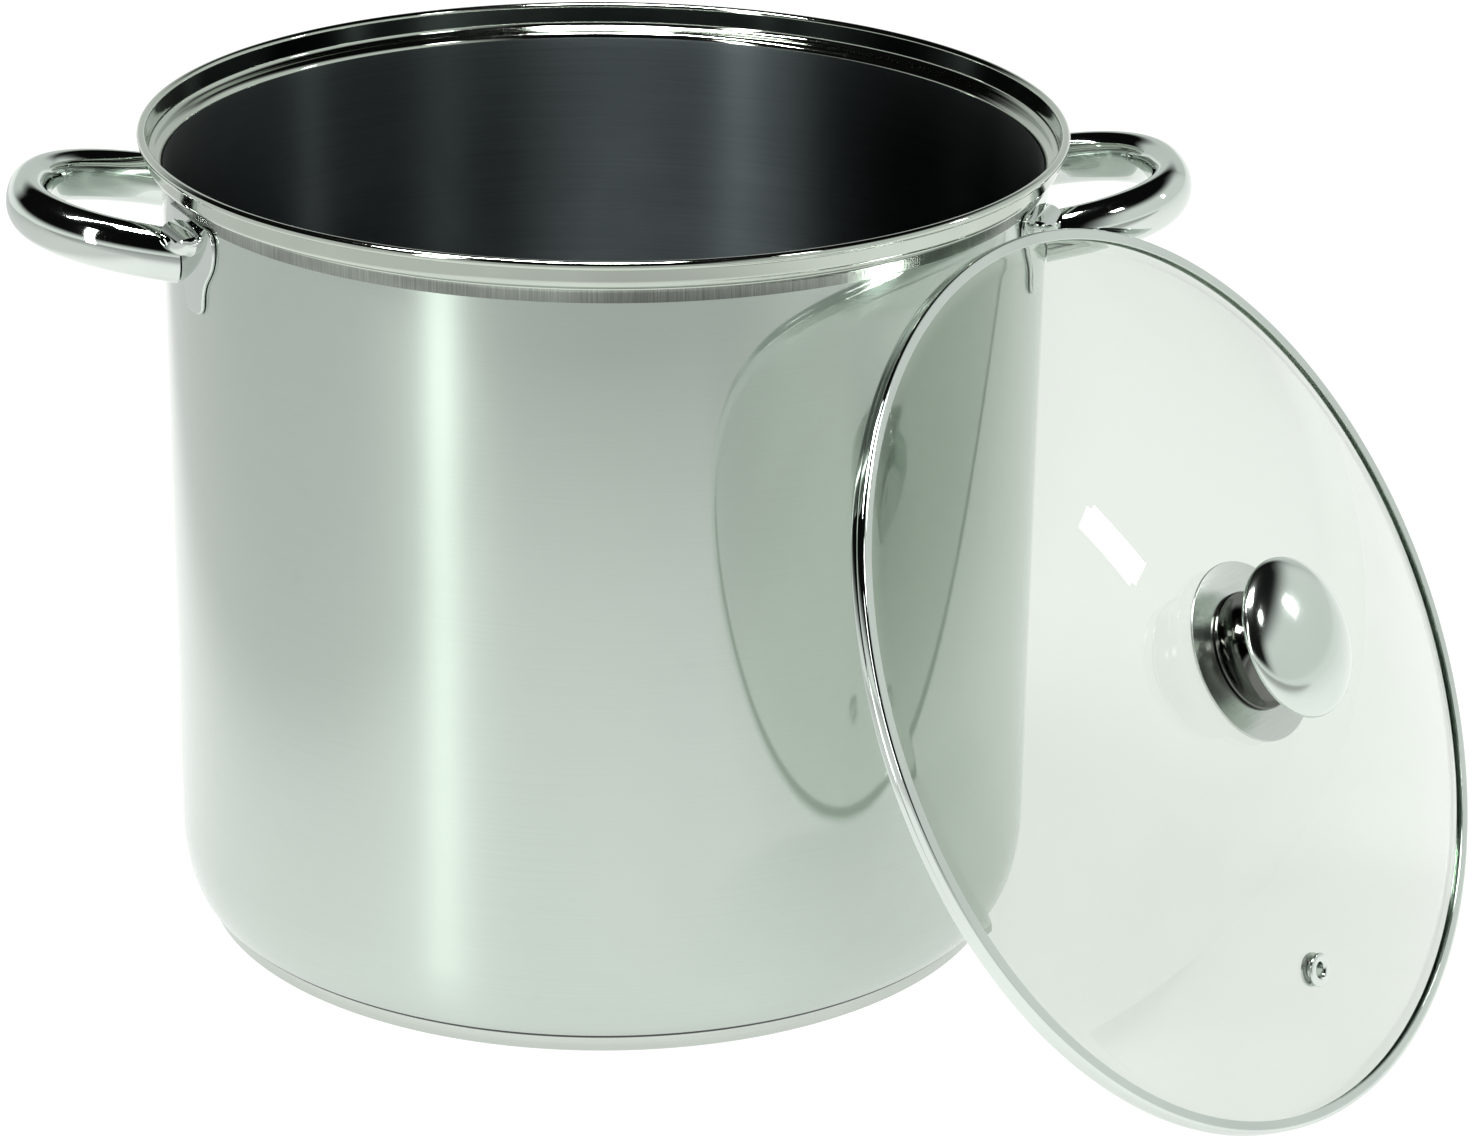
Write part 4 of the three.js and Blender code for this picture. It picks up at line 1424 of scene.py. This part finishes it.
@dataclass
class Studio:
    """Pale light table, dim room, strip lights and the camera."""

    eye: tuple[float, float, float] = (-0.012701, -1.575154, 0.742489)
    yaw: float = 0.03834
    pitch: float = 0.37681
    roll: float = 0.01337
    lens: float = 115.25
    floor_half: float = 7.0
    floor_drop: float = 0.2 * MM
    floor_slant: float = 0.107
    left_fade: Point2 = (-0.44, -0.235)
    far_fade: Point2 = (1.2, 2.2)
    front_fade: Point2 = (-1.05, -0.22)
    left_share: float = 0.62
    dimmest: float = 0.43
    lights: tuple[StripLight, ...] = (
        StripLight("strip_front_left", -129.8, 1.5, (0.19, 1.3), 0.75, 6.6),
        StripLight("strip_overhead", -161.0, 0.61, (0.10, 1.0), 1.75, 27.0),
        StripLight("panel_above", -90.0, 0.30, (0.60, 0.50), 1.90, 36.0),
        StripLight("softbox_right", -37.0, 1.25, (0.20, 0.20), 1.40, 2.2),
        StripLight("spot_right", 2.0, 1.32, (0.07, 0.16), 0.76, 1.2),
    )

    def camera(self) -> None:
        """Set the camera."""
        data = bpy.data.cameras.new("camera")
        data.lens, data.sensor_width, data.sensor_fit = self.lens, 36.0, "HORIZONTAL"
        data.clip_start, data.clip_end = 0.05, 50.0
        ahead = Vector((
            math.sin(self.yaw) * math.cos(self.pitch),
            math.cos(self.yaw) * math.cos(self.pitch),
            -math.sin(self.pitch),
        ))
        level = Vector((math.cos(self.yaw), -math.sin(self.yaw), 0.0))
        lift = level.cross(ahead)
        right = level * math.cos(self.roll) + lift * math.sin(self.roll)
        up = lift * math.cos(self.roll) - level * math.sin(self.roll)
        turn = Matrix((right, up, -ahead)).transposed().to_4x4()
        camera = bpy.data.objects.new("camera", data)
        camera.matrix_world = Matrix.Translation(self.eye) @ turn
        bpy.context.scene.collection.objects.link(camera)
        bpy.context.scene.camera = camera

    def floor(self) -> None:
        """Lay the pale glowing floor, dimmer to the left and in front of the object."""
        half, z = self.floor_half, -self.floor_drop
        corners = [(-half, -half, z), (half, -half, z), (half, half, z), (-half, half, z)]
        mesh = bpy.data.meshes.new("floor")
        mesh.from_pydata(corners, [], [(0, 1, 2, 3)])
        floor = bpy.data.objects.new("floor", mesh)
        bpy.context.scene.collection.objects.link(floor)
        material, nodes, shader = start_material("pale_floor")
        x, y, _ = nodes.axes("Object")
        slant = nodes.math("ADD", x, nodes.times(y, self.floor_slant))
        left = nodes.spread(slant, self.left_fade, (1.0, 0.0))
        near = nodes.spread(y, self.far_fade, (1.0, 0.0))
        front = nodes.spread(y, self.front_fade, (1.0, 0.0))
        side = nodes.times(nodes.times(left, near), self.left_share)
        dim = nodes.math("MAXIMUM", side, front)
        strength = nodes.spread(dim, (0.0, 1.0), (1.0, self.dimmest))
        shader.inputs["Base Color"].default_value = (0.10, 0.10, 0.10, 1.0)
        shader.inputs["Roughness"].default_value = 0.9
        shader.inputs["Emission Color"].default_value = (0.99, 1.0, 0.985, 1.0)
        nodes.link(strength, shader.inputs["Emission Strength"])
        floor.data.materials.append(material)

    def world(self) -> None:
        """Light the room: white near the horizon and in two patches above it, else dark."""
        world = bpy.data.worlds.new("room")
        bpy.context.scene.world = world
        world.use_nodes = True
        nodes = Nodes(world.node_tree)
        x, y, z = nodes.axes("Generated")
        horizon = nodes.spread(z, (0.02, 0.26), (1.0, 0.004))
        right = nodes.times(
            nodes.spread(x, (0.30, 0.75), (0.0, 1.0)), nodes.spread(z, (0.45, 0.72), (0.85, 0.0))
        )
        behind = nodes.times(
            nodes.spread(y, (0.50, 0.80), (0.0, 1.0)), nodes.spread(z, (0.34, 0.56), (0.72, 0.0))
        )
        strength = nodes.math("MAXIMUM", nodes.math("MAXIMUM", horizon, behind), right)
        background = world.node_tree.nodes["Background"]
        background.inputs["Color"].default_value = (0.96, 1.0, 0.97, 1.0)
        nodes.link(strength, background.inputs["Strength"])

    def build(self) -> None:
        """Set the camera, the floor, the room and the lights."""
        self.camera()
        self.floor()
        self.world()
        for light in self.lights:
            light.build()
        view = bpy.context.scene.view_settings
        view.view_transform, view.look = "Standard", "None"


# --- all of it


def main() -> None:
    """Build the canner's looks in order and keep its sizes."""
    logging.basicConfig(level=logging.INFO, format="%(message)s")
    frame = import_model()
    Studio().build()
    finishes = Finishes()
    PotShell(finishes).build()
    EncapsulatedBase(finishes).build()
    LoopHandle(finishes, "right", 4.0).build()
    LoopHandle(finishes, "left", 184.0).build()
    lid = GlassLid(finishes, LidFrame().matrix(frame["joints"]))
    lid.build()
    Knob(finishes, lid).build()
    JarRack(finishes).build(frame["joints"])


if __name__ == "__main__":
    main()
